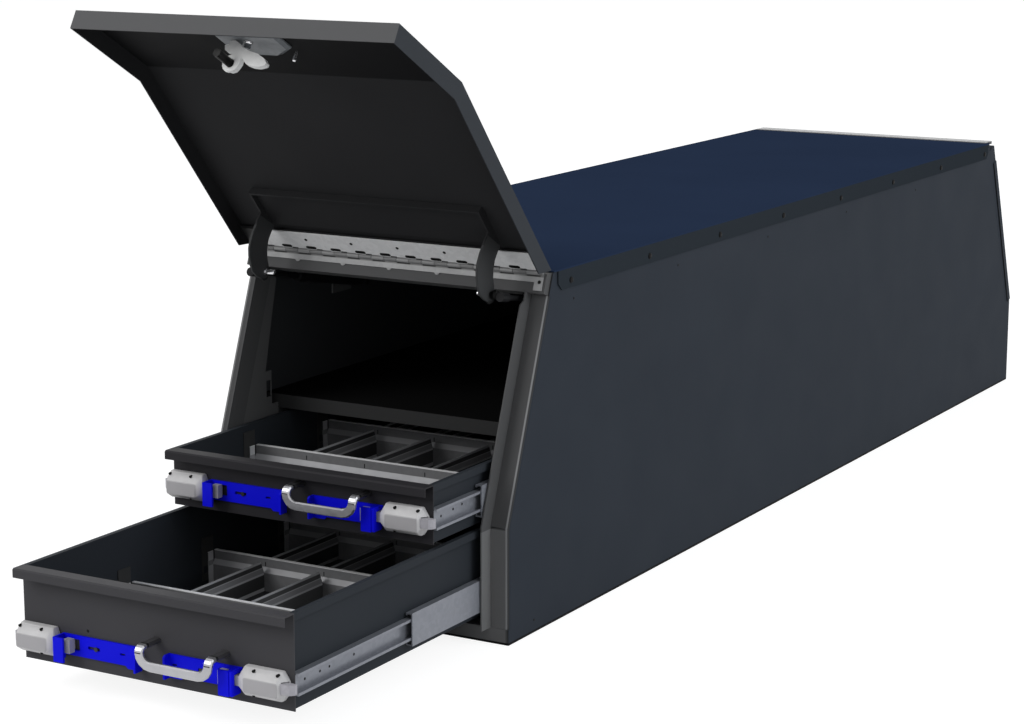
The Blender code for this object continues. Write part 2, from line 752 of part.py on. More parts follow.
def hinge_pin():
    y, z = pin_point()
    return rod("hinge_pin", (-HINGE_HALF, y, z), (HINGE_HALF, y, z), PIN_RADIUS, 10, galvanised())


def lid_end_drop(out):
    """How far down the face the lid's slanted hinge end lies, this far out of the face."""
    return LID_TOP_DROP + (LID_OUT - out) * LID_END_DROP / LID_END_DEPTH


def lid_panel():
    """The lid: a tray with a kink, side flanges that taper to the hinge and a return for its leaf."""
    inner_edge = LID_OUT - LID_DEPTH
    path = face_path(FRONT, LID_BOTTOM)
    outer = offset(path, LID_OUT, FRONT)
    edge = offset(path, inner_edge, FRONT)
    end_out = LID_OUT - LID_END_DEPTH
    outline = [slope(LID_TOP_DROP, LID_OUT), outer[1], outer[0], edge[0], edge[1],
               slope(LID_TOP_DROP + LID_TAPER, inner_edge), slope(lid_end_drop(end_out), end_out)]
    half = WIDTH / 2
    lid = prism("lid_panel", outline, -half, half, "X", charcoal())
    above_lip = face_path(FRONT, LID_BOTTOM + SHEET)
    shell = offset(above_lip, LID_OUT - SHEET, FRONT)
    clear = offset(above_lip, inner_edge - OVERRUN, FRONT)
    rest = PIN_OUT + KNUCKLE_RADIUS + GAP
    behind = -2 * OVERRUN
    tail = LID_TOP_DROP + LID_RETURN
    wall = SHEET + 2 * GAP
    hollow = [slope(lid_end_drop(LID_OUT - SHEET) + wall, LID_OUT - SHEET), shell[1], shell[0], clear[0], clear[1],
              slope(behind, inner_edge - OVERRUN), slope(behind, rest), slope(tail, rest), slope(tail, rest + SHEET),
              slope(lid_end_drop(rest + SHEET) + wall, rest + SHEET)]
    return carve(lid, prism("hollow", hollow, -half + SHEET, half - SHEET, "X", charcoal()))


def strut_lever():
    """A sheet on the lid with two arms that hook round the header to the struts."""
    plane = LID_OUT - SHEET - GAP - PIN_OUT
    low, high = LEVER_BASE
    half = LEVER_X + LEVER_SHEET

    def at(u, s):
        return slope(PIN_DROP + u, PIN_OUT + s)

    base = prism("strut_lever", [at(low, plane - LEVER_SHEET), at(high, plane - LEVER_SHEET),
                                 at(high, plane), at(low, plane)], -half, half, "X", charcoal())
    rim = prism("rim", [at(high - LEVER_SHEET, plane - LEVER_FLANGE), at(high, plane - LEVER_FLANGE),
                        at(high, plane - LEVER_SHEET / 2), at(high - LEVER_SHEET, plane - LEVER_SHEET / 2)],
                -half, half, "X", charcoal())
    steps = 7

    def bow(radius, end_radius, i):
        reach = radius + (end_radius - radius) * (i / steps) ** 2
        angle = STUD_ANGLE * i / steps
        return at(reach * cos(angle), reach * sin(angle))

    points = [at(high, plane - LEVER_FLANGE), at(LEVER_OUTER, plane - LEVER_FLANGE)]
    points += [bow(LEVER_OUTER, STUD_RADIUS_FROM_PIN + LEVER_ARM / 2, i) for i in range(1, steps + 1)]
    centre = (STUD_RADIUS_FROM_PIN * cos(STUD_ANGLE), STUD_RADIUS_FROM_PIN * sin(STUD_ANGLE))
    for i in range(1, 4):
        angle = STUD_ANGLE - pi * i / 4
        points.append(at(centre[0] + LEVER_ARM / 2 * cos(angle), centre[1] + LEVER_ARM / 2 * sin(angle)))
    points += [bow(LEVER_INNER, STUD_RADIUS_FROM_PIN - LEVER_ARM / 2, i) for i in range(steps, -1, -1)]
    points += [at(low, plane - LEVER_SHEET / 2), at(high, plane - LEVER_SHEET / 2)]
    arms = [prism("arm", points, min(s * LEVER_X, s * half), max(s * LEVER_X, s * half), "X", charcoal())
            for s in (-1, 1)]
    return weld(base, rim, *arms)


def stud_point(angle):
    """The strut's front pivot, with the lid turned by this angle from shut."""
    u = STUD_RADIUS_FROM_PIN * cos(STUD_ANGLE)
    s = STUD_RADIUS_FROM_PIN * sin(STUD_ANGLE)
    return turned(slope(PIN_DROP + u, PIN_OUT + s), pin_point(), angle)


def gas_strut(side, label):
    """A rod with its ball fitting and a cylinder with its rear eye, laid along +Y from the stud."""
    x = side * STRUT_X
    face = side * (LEVER_X + LEVER_SHEET + GAP)
    reach = hypot(ANCHOR_UP, ANCHOR_IN)
    tail = reach - CYLINDER_EYE
    head = tail - CYLINDER_LENGTH
    bar = rod("strut_rod_" + label, (x, 0, 0), (x, head + ROD_IN_CYLINDER, 0), ROD_RADIUS, 12, galvanised())
    fitting = rod("fitting", (x, -FITTING_RADIUS, 0), (x, 2 * FITTING_RADIUS, 0), FITTING_RADIUS, 12, black())
    stud = rod("stud", (face, 0, 0), (x, 0, 0), STUD_RADIUS, 10, black())
    weld(bar, fitting, stud)
    tube = rod("strut_cylinder_" + label, (x, head, 0), (x, tail, 0), CYLINDER_RADIUS, 16, black())
    bore = rod("bore", (x, head - OVERRUN, 0), (x, tail - OVERRUN, 0), BORE_RADIUS, 12, black())
    eye = rod("eye", (x - side * CYLINDER_RADIUS, reach, 0), (x + side * FITTING_RADIUS, reach, 0),
              FITTING_RADIUS, 12, black())
    neck = rod("neck", (x, tail - OVERRUN / 2, 0), (x, reach, 0), ROD_RADIUS, 10, black())
    carve(tube, bore)
    weld(tube, neck, eye)
    return smooth(bar), smooth(tube)


def anchor_point():
    """The strut's rear pivot."""
    stud = stud_point(-LID_OPEN)
    top = slope(0, 0)
    beside = slope(-ANCHOR_UP, -ANCHOR_IN)
    return (stud[0] + beside[0] - top[0], stud[1] + beside[1] - top[1])


def strut_anchor():
    """The plate and stud on the inside of the right-hand side panel, beside the strut's rear eye."""
    y, z = anchor_point()
    panel = WIDTH / 2 - SHEET / 2
    plate = block("anchor", (WIDTH / 2 - SHEET - LEVER_SHEET, panel),
                  (y - ANCHOR_PLATE[0] / 2, y + ANCHOR_PLATE[0] / 2),
                  (z - ANCHOR_PLATE[1] / 2, z + ANCHOR_PLATE[1] / 2), charcoal())
    stem = rod("stem", (STRUT_X + FITTING_RADIUS + GAP, y, z), (panel, y, z), FITTING_RADIUS, 12, charcoal())
    return weld(plate, stem)


# The lid's latch

def lid_inner_y():
    return -LENGTH / 2 - LID_OUT + SHEET


def lid_latch_plate():
    """A dished plate on the inside of the lid's lower wall, with the barrel that the claw turns on."""
    wall = lid_inner_y() + GAP

    def ring(inset, out):
        left, right = LATCH_PLATE_X[0] + inset, LATCH_PLATE_X[1] - inset
        low, high = LATCH_PLATE_Z[0] + inset, LATCH_PLATE_Z[1] - inset
        across, down = LATCH_CHAMFER
        corners = [(left, low), (right, low), (right, high - down), (right - across, high), (left + across, high),
                   (left, high - down)]
        return [(x, wall + out, z) for x, z in corners]

    rise = SHEET + LATCH_PLATE_DISH
    plate = lofted("lid_latch_plate", [ring(0, 0), ring(0, SHEET), ring(LATCH_PLATE_DISH, rise)], galvanised())
    x, z = RIVET_PLACE
    rivet = rod("rivet", (x, wall + SHEET, z), (x, wall + rise + RIVET_RISE, z), RIVET_RADIUS, 12, galvanised())
    x, z = CLAW_CENTRE
    axis = wall + CLAW_REACH
    head = z + CLAW_HEIGHT + CLAW_HUB_HEIGHT + GAP + FOOT_HEIGHT
    barrel = rod("barrel", (x, axis, z - BARREL_PAST_CLAW), (x, axis, head), BARREL_RADIUS, 16, galvanised())
    foot = block("foot", (x - FOOT_WIDTH / 2, x + FOOT_WIDTH / 2), (wall + SHEET, axis), (head - FOOT_HEIGHT, head),
                 galvanised())
    return smooth(weld(plate, rivet, barrel, foot))


def lid_latch_claw():
    """The claw with its lever arm and the hub that turns on the barrel."""
    y = lid_inner_y() + GAP + CLAW_REACH
    x, z = CLAW_CENTRE
    outline = [(x + CLAW_SPAN * a, y + CLAW_SPAN * b) for a, b in CLAW_SHARES]
    high = z + CLAW_HEIGHT
    claw = prism("lid_latch_claw", outline, z, high, "Z", cast_grey())
    hub = rod("hub", (x, y, high - GAP), (x, y, high + CLAW_HUB_HEIGHT), CLAW_HUB_RADIUS, 16, cast_grey())
    hole = rod("hole", (x, y, z - OVERRUN), (x, y, high + CLAW_HUB_HEIGHT + OVERRUN), BARREL_RADIUS + GAP, 16,
               cast_grey())
    return smooth(carve(weld(claw, hub), hole))


def lid_handle():
    """The paddle in the lid's outer face, hinged along its top edge."""
    y = -LENGTH / 2 - LID_OUT - GAP
    half = PADDLE[0] / 2
    top = LATCH_PLATE_Z[1]
    low = top - PADDLE[1]
    middle = (LATCH_PLATE_X[0] + LATCH_PLATE_X[1]) / 2
    outline = [(y, top), (y - PADDLE_OUT, top - SHEET), (y - PADDLE_OUT, low + PADDLE_OUT), (y - 2 * PADDLE_OUT, low),
               (y - 2 * PADDLE_OUT + SHEET, low - SHEET), (y - PADDLE_OUT + SHEET, low + PADDLE_OUT - SHEET),
               (y, low + PADDLE_OUT)]
    return prism("lid_handle", outline, middle - half, middle + half, "X", black())


# Drawers

def drawer_box(label, spec):
    """The folded box: floor, sides and back, with the tops of the sides turned outward."""
    low, high = spec["bottom"], spec["bottom"] + spec["height"]
    front = -LENGTH / 2 + spec["shut"] + DRAWER_SHEET + GAP
    back = front + DRAWER_LENGTH
    x = DRAWER_SIDE
    solid_box = block(label + "_drawer_box", (-x, x), (front, back), (low, high), charcoal())
    hollow = block("hollow", (-x + DRAWER_SHEET, x - DRAWER_SHEET), (front - OVERRUN, back - DRAWER_SHEET),
                   (low + DRAWER_SHEET, high + OVERRUN), charcoal())
    carve(solid_box, hollow)
    rims = []
    for s in (-1, 1):
        edge = sorted((s * (x - DRAWER_SHEET / 2), s * DRAWER_HALF))
        lip = sorted((s * (DRAWER_HALF - DRAWER_SHEET), s * DRAWER_HALF))
        rims.append(block("rim", edge, (front, back), (high - DRAWER_SHEET, high), charcoal()))
        rims.append(block("lip", lip, (front, back), (high - RIM_FOLD, high - DRAWER_SHEET / 2), charcoal()))
    return weld(solid_box, *rims)


def drawer_front(label, spec):
    """The face with its rim folded forward and down."""
    low, high = spec["bottom"], spec["bottom"] + spec["height"]
    face = -LENGTH / 2 + spec["shut"]
    back = face + DRAWER_SHEET
    nose = face - RIM_OUT
    turn = SHEET
    outline = [(back, low), (back, high), (nose + turn, high), (nose, high - turn), (nose, high - RIM_DROP),
               (nose + DRAWER_SHEET, high - RIM_DROP), (nose + DRAWER_SHEET, high - turn),
               (nose + turn, high - DRAWER_SHEET), (face, high - DRAWER_SHEET), (face, low)]
    front = prism(label + "_drawer_front", outline, -DRAWER_HALF, DRAWER_HALF, "X", charcoal())
    studs = []
    height = low + SLOT_UP
    outside = face - GAP - LEVER_GAUGE - GAP
    for sign, latch in ((-1, LATCHES["left"]), (1, LATCHES["right"])):
        x = sign * stud_place(latch)
        studs.append(rod("shank", (x, face + DRAWER_SHEET / 2, height), (x, outside - STUD_HEAD / 2, height),
                         STUD_PIN_RADIUS, 10, charcoal()))
        studs.append(rod("head", (x, outside, height), (x, outside - STUD_HEAD, height), STUD_HEAD_RADIUS, 12,
                         charcoal()))
    return weld(front, *studs)


def slot_start(latch):
    return latch["hook"] - SLOT_SETBACK - SLOT_SIZE[0]


def stud_place(latch):
    """Where the guide stud stands in the lever's slot, clear of its inner end when the bolt is thrown."""
    return slot_start(latch) + LATCH_THROW + STUD_PIN_RADIUS + 2 * GAP


def c_channel(name, height, depth, wall_x, open_to, y, centre, material):
    """A C-shaped rail: web at wall_x, lips towards open_to."""
    half = height / 2
    s = 1 if open_to > 0 else -1
    w = wall_x
    t = SLIDE_SHEET
    outline = [(w, centre - half), (w, centre + half), (w + s * depth, centre + half),
               (w + s * depth, centre + half - 2 * t), (w + s * (depth - t), centre + half - 2 * t),
               (w + s * (depth - t), centre + half - t), (w + s * t, centre + half - t),
               (w + s * t, centre - half + t), (w + s * (depth - t), centre - half + t),
               (w + s * (depth - t), centre - half + 2 * t), (w + s * depth, centre - half + 2 * t),
               (w + s * depth, centre - half)]
    return prism(name, outline, y[0], y[1], "Y", material)


def slides(label, spec):
    """The three rails of both slides: on the bay walls, between, and on the drawer."""
    centre = spec["bottom"] + SLIDE_CENTRE_UP
    start = -LENGTH / 2 + spec["shut"] + DRAWER_SHEET + GAP
    wall = BAY_HALF - GAP
    outer, middle, inner = [], [], []
    fixed = start + DRAWER_SHEET
    for side in (-1, 1):
        tag = "left" if side < 0 else "right"
        outer.append(c_channel("%s_slide_outer_%s" % (label, tag), OUTER_SLIDE[0], OUTER_SLIDE[1], side * wall, -side,
                               (fixed, fixed + SLIDE_LENGTH), centre, galvanised()))
        web = side * (wall - SLIDE_SHEET - SIDE_RUN / 2)
        middle.append(c_channel("%s_slide_middle_%s" % (label, tag), MIDDLE_SLIDE[0], MIDDLE_SLIDE[1], web, -side,
                                (start, start + SLIDE_LENGTH), centre, galvanised()))
        foot = side * (DRAWER_SIDE + GAP)
        inner.append(c_channel("%s_slide_inner_%s" % (label, tag), INNER_SLIDE[0], INNER_SLIDE[1], foot, side,
                               (start, start + SLIDE_LENGTH), centre, galvanised()))
    return outer, middle, inner


def cross_divider(y, floor, half):
    """A cross divider with a ledge half way up, a hem on top and a bracket at both ends."""
    top = floor + DIVIDER_HEIGHT
    t = DIVIDER_SHEET
    upper = y + DIVIDER_STEP
    low, high = floor + LEDGE_UP[0], floor + LEDGE_UP[1]
    outline = [(y, floor), (y, low), (upper, high), (upper, top), (upper + DIVIDER_HEM, top),
               (upper + DIVIDER_HEM, top - t), (upper + t, top - t), (upper + t, high - t / 2),
               (y + t, low - t / 2), (y + t, floor)]
    wall = prism("cross", outline, -half, half, "X", galvanised())
    parts = []
    for s in (-1, 1):
        plate = block("bracket", sorted((s * half, s * (half - t))), (y - BRACKET_FRONT, y + BRACKET_BACK),
                      (floor + BRACKET_FOOT, top + BRACKET_RISE), galvanised())
        slot = block("slot", sorted((s * (half - OVERRUN), s * (half + OVERRUN))),
                     (y - BRACKET_SLOT[0], y - BRACKET_SLOT[1]),
                     (floor + BRACKET_SLOT_UP[0], floor + BRACKET_SLOT_UP[1]), galvanised())
        flange = block("flange", sorted((s * (half - t / 2), s * (half - 2 * t))), (y - FLANGE_FRONT, y + t / 2),
                       (floor, top), galvanised())
        parts += [carve(plate, slot), flange]
    return [wall] + parts


def long_divider(x, y, floor):
    """A divider along the drawer from one cross divider to the next, its far corner cut off."""
    t = DIVIDER_SHEET
    near, far = y + t / 2, y + DIVIDER_PITCH + t / 2
    top = floor + DIVIDER_HEIGHT - LONG_DROP
    low, high = floor + LEDGE_UP[0], floor + LEDGE_UP[1]
    outline = [(near, floor), (near, low), (near + DIVIDER_STEP, high), (near + DIVIDER_STEP, top),
               (y + DIVIDER_PITCH + DIVIDER_STEP - LONG_SHORT, top), (far, low), (far, floor)]
    return prism("long", outline, x - t / 2, x + t / 2, "X", galvanised())


def dividers(label, spec):
    """A grid of cross dividers and long dividers."""
    floor = spec["bottom"] + DRAWER_SHEET + GAP
    half = DRAWER_SIDE - DRAWER_SHEET - GAP
    walls = []
    for i in range(DIVIDER_COUNT):
        y = -LENGTH / 2 + spec["shut"] + spec["cross"] + i * DIVIDER_PITCH
        walls += cross_divider(y, floor, half)
        if i + 1 < DIVIDER_COUNT:
            walls += [long_divider((2 * share - 1) * half, y, floor) for share in LONG_SHARES]
    walls[0].name = label + "_dividers"
    return weld(walls[0], *walls[1:])


# Latches and handles

def latch_case(name, spec, latch):
    """The right-hand latch case: an eight-cornered cover whose raised face has sloping borders."""
    face = -LENGTH / 2 + spec["shut"] - GAP
    centre = spec["bottom"] + LATCH_UP
    x0 = latch["case"]
    x1 = x0 + CASE_WIDTH

    def ring(depth, side_inset, rise_inset):
        a, b, top = x0 + side_inset, x1 - side_inset, CASE_HALF_HEIGHT - rise_inset
        corner = CASE_CORNER - (side_inset + rise_inset) / 2
        points = [(a + corner, -top), (b - corner, -top), (b, -top + corner), (b, top - corner),
                  (b - corner, top), (a + corner, top), (a, top - corner), (a, -top + corner)]
        return [(x, face - depth, centre + z) for x, z in points]

    case = lofted(name, [ring(0, 0, 0), ring(CASE_BASE, 0, 0), ring(CASE_DEPTH, CASE_SIDE_INSET, CASE_RISE_INSET)],
                  cast_grey())
    way = block("way", (x0 - OVERRUN, x1 + OVERRUN), (face + GAP - BOLT_FRONT - 2 * GAP, face - BOLT_BACK + 2 * GAP),
                (centre - BOLT_HALF_HEIGHT - GAP, centre + BOLT_HALF_HEIGHT + GAP), cast_grey())
    holes = []
    border = CASE_HALF_HEIGHT - CASE_RISE_INSET / 2
    for x in (x0 + CASE_CORNER, x1 - CASE_CORNER):
        for z in (-border, border):
            holes.append(rod("hole", (x, face - CASE_DEPTH - OVERRUN, centre + z), (x, face - CASE_BASE, centre + z),
                             CASE_SCREW, 8, cast_grey()))
    return carve(case, way, *holes)


def latch_bolt(name, spec, latch):
    """The right-hand bolt, bevelled at its tip, with a tail whose tongue lies in the lever's window."""
    face = -LENGTH / 2 + spec["shut"] - GAP
    centre = spec["bottom"] + LATCH_UP
    back, front = face - BOLT_BACK, face - BOLT_FRONT
    tail = latch["hook"] - TAIL_SETBACK
    bevel = (BOLT_FRONT - BOLT_BACK) / 2
    outline = [(tail, front), (BOLT_TIP - bevel, front), (BOLT_TIP, front + bevel), (BOLT_TIP, back), (tail, back)]
    bar = prism(name, outline, centre - BOLT_HALF_HEIGHT, centre + BOLT_HALF_HEIGHT, "Z", cast_grey())
    head = block("tail", (tail, tail + TAIL_LENGTH), (front, back - GAP),
                 (centre - TAIL_HALF_HEIGHT, centre + TAIL_HALF_HEIGHT), cast_grey())
    start = tail + TONGUE[0] / 2
    tongue = block("tongue", (start, start + TONGUE[0]), (back - GAP, face - GAP),
                   (centre - TONGUE[1] / 2, centre + TONGUE[1] / 2), cast_grey())
    return weld(bar, head, tongue)


def latch_lever(name, spec, latch):
    """The right-hand lever: a slotted plate, a hook round the bolt's tail and a finger flange."""
    face = -LENGTH / 2 + spec["shut"]
    back = face - GAP
    t = LEVER_GAUGE
    z0 = spec["bottom"]
    low, top = z0 + LEVER_BOTTOM, z0 + LEVER_TOP
    hook, finger = latch["hook"], LEVER_FINGER_X
    tab, drop = LEVER_TAB
    end = min(hook + LEVER_PAST_HOOK, latch["case"] - LATCH_THROW - 2 * GAP)
    outline = [(finger, low - drop), (finger + tab - drop, low - drop), (finger + tab, low), (end, low), (end, top),
               (finger, top)]
    lever = prism(name, outline, back - t, back, "Y", lever_blue())
    web = block("web", (hook - t, hook), (face - HOOK_OUT, back - t / 2), (z0 + HOOK_BOTTOM, top), lever_blue())
    strip = block("strip", (hook - HOOK_WIDTH, hook - t / 2), (face - HOOK_OUT, face - HOOK_OUT + t),
                  (z0 + HOOK_BOTTOM, top), lever_blue())
    flange = prism("finger", [(back - t / 2, low - drop), (face - FINGER_OUT, low - drop), (face - FINGER_OUT, top - t),
                              (face - FINGER_OUT + t, top), (back - t / 2, top)], finger, finger + t, "X", lever_blue())
    weld(lever, web, strip, flange)
    centre = z0 + LATCH_UP
    clear = BOLT_HALF_HEIGHT + GAP
    way = block("way", (hook - t - GAP, hook + OVERRUN), (back - BOLT_FRONT - GAP, back - BOLT_BACK + GAP),
                (centre - clear, centre + clear), lever_blue())
    through = (face - OVERRUN, face + OVERRUN)
    inner = hook - WINDOW_SETBACK
    window = block("window", (inner, inner + WINDOW[0]), through, (centre - WINDOW[1] / 2, centre + WINDOW[1] / 2),
                   lever_blue())
    start = slot_start(latch)
    height = z0 + SLOT_UP
    slot = block("slot", (start, start + SLOT_SIZE[0]), through, (height - SLOT_SIZE[1] / 2, height + SLOT_SIZE[1] / 2),
                 lever_blue())
    mark = hook - NOTCH_SETBACK
    notch = block("notch", (mark - NOTCH[0], mark), through, (height - NOTCH[1] / 2, height + NOTCH[1] / 2),
                  lever_blue())
    return carve(lever, way, window, slot, notch)


def handle(label, spec):
    """The bow handle: a flat band out of the face, down, along and back."""
    face = -LENGTH / 2 + spec["shut"] - GAP
    z0 = spec["bottom"]
    band, thick = HANDLE_BAND
    left, right = HANDLE_X
    front = face - HANDLE_OUT
    leg, bar = z0 + HANDLE_LEG_UP, z0 + HANDLE_BAR_UP
    x_axis, y_axis, z_axis = Vector((1, 0, 0)), Vector((0, 1, 0)), Vector((0, 0, 1))
    stations = []

    def station(point, across, up):
        stations.append((Vector(point), across, up))

    station((left, face, leg), x_axis, z_axis)
    steps = 4
    knee = HANDLE_KNEE
    for i in range(steps + 1):
        angle = pi / 2 * i / steps
        station((left, front + knee * (1 - sin(angle)), leg - knee * (1 - cos(angle))), x_axis,
                cos(angle) * z_axis - sin(angle) * y_axis)
    corner = HANDLE_CORNER
    for i in range(steps + 1):
        angle = pi / 2 * i / steps
        station((left + corner * (1 - cos(angle)), front, bar + corner * (1 - sin(angle))),
                cos(angle) * x_axis + sin(angle) * z_axis, -y_axis)
    middle = (left + right) / 2
    other = [(Vector((2 * middle - p.x, p.y, p.z)), Vector((-a.x, a.y, a.z)), Vector((-u.x, u.y, u.z)))
             for p, a, u in reversed(stations)]
    rings = []
    for point, across, up in stations + other:
        rings.append([point + across * (a * band / 2) + up * (b * thick / 2) for a, b in BAND_SHARES])
    return smooth(lofted(label + "_handle", rings, chrome()), radians(50))


# The rear door

def rear_door():
    """A tray on the leaning rear face, hinged along its top."""
    skin_top = slope(DOOR_TOP_DROP, 0, REAR)
    kink = (LENGTH / 2, KINK_HEIGHT)
    edge_top = slope(DOOR_TOP_DROP, -DOOR_DEPTH, REAR)
    edge_low = at_height(KINK_HEIGHT, -DOOR_DEPTH, REAR)
    half = WIDTH / 2
    door = prism("rear_door", [skin_top, kink, edge_low, edge_top], -half, half, "X", charcoal())
    inner_top = slope(DOOR_TOP_DROP + SHEET, -SHEET, REAR)
    low_skin = at_height(KINK_HEIGHT + SHEET, -SHEET, REAR)
    low_edge = at_height(KINK_HEIGHT + SHEET, -DOOR_DEPTH - OVERRUN, REAR)
    high_edge = slope(DOOR_TOP_DROP + SHEET, -DOOR_DEPTH - OVERRUN, REAR)
    hollow = prism("hollow", [inner_top, low_skin, low_edge, high_edge], -half + SHEET, half - SHEET, "X", charcoal())
    place, out = rear_latch_axis()
    hole = rod("hole", place + out * OVERRUN, place - out * OVERRUN, REAR_SPINDLE + GAP, 12, charcoal())
    return carve(door, hollow, hole)


def rear_hinge():
    """The light strip hinge on the roof's rear edge."""
    y, z = rear_pin()
    roof_end = at_height(HEIGHT, -DOOR_DEPTH - GAP, REAR)[0]
    half = WIDTH / 2 - BEND_RADIUS
    strip = block("rear_hinge_strip", (-half, half), (roof_end - REAR_FLANGE, y),
                  (HEIGHT + GAP, HEIGHT + GAP + LEAF_SHEET), galvanised())
    barrel = rod("barrel", (-half, y, z), (half, y, z), KNUCKLE_RADIUS, 12, galvanised())
    return weld(strip, barrel)


def rear_pin():
    corner = slope(0, 0, REAR)
    return (corner[0], HEIGHT + GAP + LEAF_SHEET - KNUCKLE_RADIUS)


def rear_latch_axis():
    """A point on the door's skin and the outward direction there."""
    run = hypot(REAR_LEAN, HEIGHT - KINK_HEIGHT)
    near = Vector((0, *slope(run - REAR_LATCH_UP, 0, REAR)))
    far = Vector((0, *slope(run - REAR_LATCH_UP, 1, REAR)))
    return near, far - near


def rear_latch():
    """A quarter-turn latch, unlocked: its cam lies level inside the window and turns down behind the frame."""
    place, out = rear_latch_axis()
    depth = DOOR_DEPTH + 2 * GAP + REAR_FLANGE + REAR_CAM[2]
    knob = rod("rear_latch", place + out * GAP, place + out * REAR_LATCH_OUT, REAR_LATCH_RADIUS, 20, black())
    grip = rod("grip", place + out * REAR_LATCH_OUT / 2, place + out * 2 * REAR_LATCH_OUT, REAR_LATCH_RADIUS / 2, 12,
               black())
    spindle = rod("spindle", place + out * 2 * GAP, place - out * depth, REAR_SPINDLE, 12, black())
    up = Vector((0, -out.z, out.y))
    near, far = place - out * depth, place - out * (depth - REAR_CAM[2])
    reach, half = REAR_CAM[1], REAR_CAM[0] / 2
    rings = []
    for point in (near, far):
        rings.append([point + Vector((x, 0, 0)) + up * w for x, w in
                      ((-half, -half), (reach, -half), (reach, half), (-half, half))])
    cam = lofted("cam", rings, black())
    return smooth(weld(knob, grip, spindle, cam))


def build():
    clear_scene()
    floor_pan()
    front_sill()
    mirrored(side_panel(), "side_panel_left")
    roof_panel()
    front_header()
    mirrored(front_post(), "front_post_left")
    rear_lower_panel()
    rear_frame()
    mirrored(bay_wall(), "bay_wall_left")
    shelf()
    hinge_frame_leaf()
    hinge_pin()
    rear_hinge()

    lid = Carrier("lid_axis", (0, *pin_point()), tilt=-LID_OPEN)
    lid.take(lid_panel(), hinge_lid_leaf(), strut_lever(), lid_latch_plate(), lid_latch_claw(), lid_handle())
    stud, anchor = stud_point(-LID_OPEN), anchor_point()
    for side, label in ((-1, "left"), (1, "right")):
        strut = Carrier("strut_axis_" + label, (0, 0, 0), (0, *stud), atan2(anchor[1] - stud[1], anchor[0] - stud[0]))
        strut.take(*gas_strut(side, label))

    for label, spec in DRAWERS.items():
        face = (0, -LENGTH / 2 + spec["shut"], spec["bottom"])
        drawer = Carrier(label + "_drawer_axis", face, (0, -spec["drawn"], 0))
        between = Carrier(label + "_slide_axis", face, (0, -spec["drawn"] * MIDDLE_SHARE, 0))
        outer, middle, inner = slides(label, spec)
        between.take(*middle)
        drawer.take(drawer_box(label, spec), drawer_front(label, spec), *inner, handle(label, spec),
                    dividers(label, spec))
        for side, latch in LATCHES.items():
            made = [latch_case("%s_latch_case_%s" % (label, side), spec, latch),
                    latch_bolt("%s_bolt_%s" % (label, side), spec, latch),
                    latch_lever("%s_lever_%s" % (label, side), spec, latch)]
            if side == "left":
                for piece in made:
                    piece.data.transform(Matrix.Scale(-1, 4, (1, 0, 0)))
                    piece.data.flip_normals()
            drawer.take(*made)

    rear = Carrier("rear_door_axis", (0, *rear_pin()))
    rear.take(rear_door(), rear_latch())


build()
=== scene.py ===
"""Truck bed drawer toolbox, dressed on its CAD frame."""

from math import cos, pi, radians, sin

import bmesh
import bpy
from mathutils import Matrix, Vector


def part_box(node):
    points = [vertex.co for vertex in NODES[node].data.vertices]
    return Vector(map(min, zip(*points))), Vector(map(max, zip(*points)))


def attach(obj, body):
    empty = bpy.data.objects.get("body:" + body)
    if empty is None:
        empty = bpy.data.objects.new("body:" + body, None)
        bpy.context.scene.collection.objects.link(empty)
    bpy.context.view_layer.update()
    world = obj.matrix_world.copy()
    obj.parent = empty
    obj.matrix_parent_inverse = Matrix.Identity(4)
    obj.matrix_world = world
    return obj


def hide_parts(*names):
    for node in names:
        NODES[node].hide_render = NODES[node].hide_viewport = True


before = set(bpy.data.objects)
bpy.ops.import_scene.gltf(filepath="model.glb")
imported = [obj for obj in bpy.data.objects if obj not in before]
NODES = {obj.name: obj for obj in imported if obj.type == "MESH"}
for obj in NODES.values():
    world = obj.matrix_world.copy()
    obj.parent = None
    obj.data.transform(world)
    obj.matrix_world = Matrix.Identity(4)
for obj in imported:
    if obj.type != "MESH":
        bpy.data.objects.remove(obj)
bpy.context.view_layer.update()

# Sizes and places of the frame, in metres in the pose of the photograph

X, Y, Z = (1, 0, 0), (0, 1, 0), (0, 0, 1)
LABELS = ("lower", "upper")
SIDES = ((-1, "left"), (1, "right"))

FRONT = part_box("side_panel_right")[0].y
SIDE_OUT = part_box("side_panel_right")[1].x
ROOF_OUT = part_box("roof_panel")[1].x
SHELF_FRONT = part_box("shelf")[0].y

# Where the drawers' faces are in y and their bottoms in z
FACE_SHEET = 0.0015
FACES = {label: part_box(label + "_drawer_front")[1].y - FACE_SHEET for label in LABELS}
BOTTOMS = {label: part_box(label + "_drawer_front")[0].z for label in LABELS}
# The latches' middle above a drawer's bottom
LATCH_RISE = 0.0315

PIN = sum(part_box("hinge_pin"), Vector()) / 2
# The lid's main wall: out of its inner face, and away from the pin
LID_OUT = Vector((0, -0.762, -0.648))
LID_AWAY = Vector((0, -0.648, 0.762))
# The lid's lower wall beyond the kink: out of its inner face, towards its free edge, and a point on it
LOWER_OUT = Vector((0, -0.4925, -0.8703))
LOWER_BACK = Vector((0, 0.8703, -0.4925))
LOWER_POINT = Vector((0, -1.21933, 0.8231))
# Out of the hinge's frame leaf
FRAME_OUT = Vector((0, -0.94, 0.34))


# Material nodes


def grey(value):
    return (value, value, value)


def times(colour, share):
    return tuple(min(1.0, part * share) for part in colour)


def add(tree, kind, **sockets):
    node = tree.nodes.new(kind)
    for key, value in sockets.items():
        node.inputs[key.replace("_", " ")].default_value = value
    return node


def place(tree):
    """A point's place in the pose of the photograph, also where its body has moved."""
    return tree.nodes.new("ShaderNodeTexCoord").outputs["Object"]


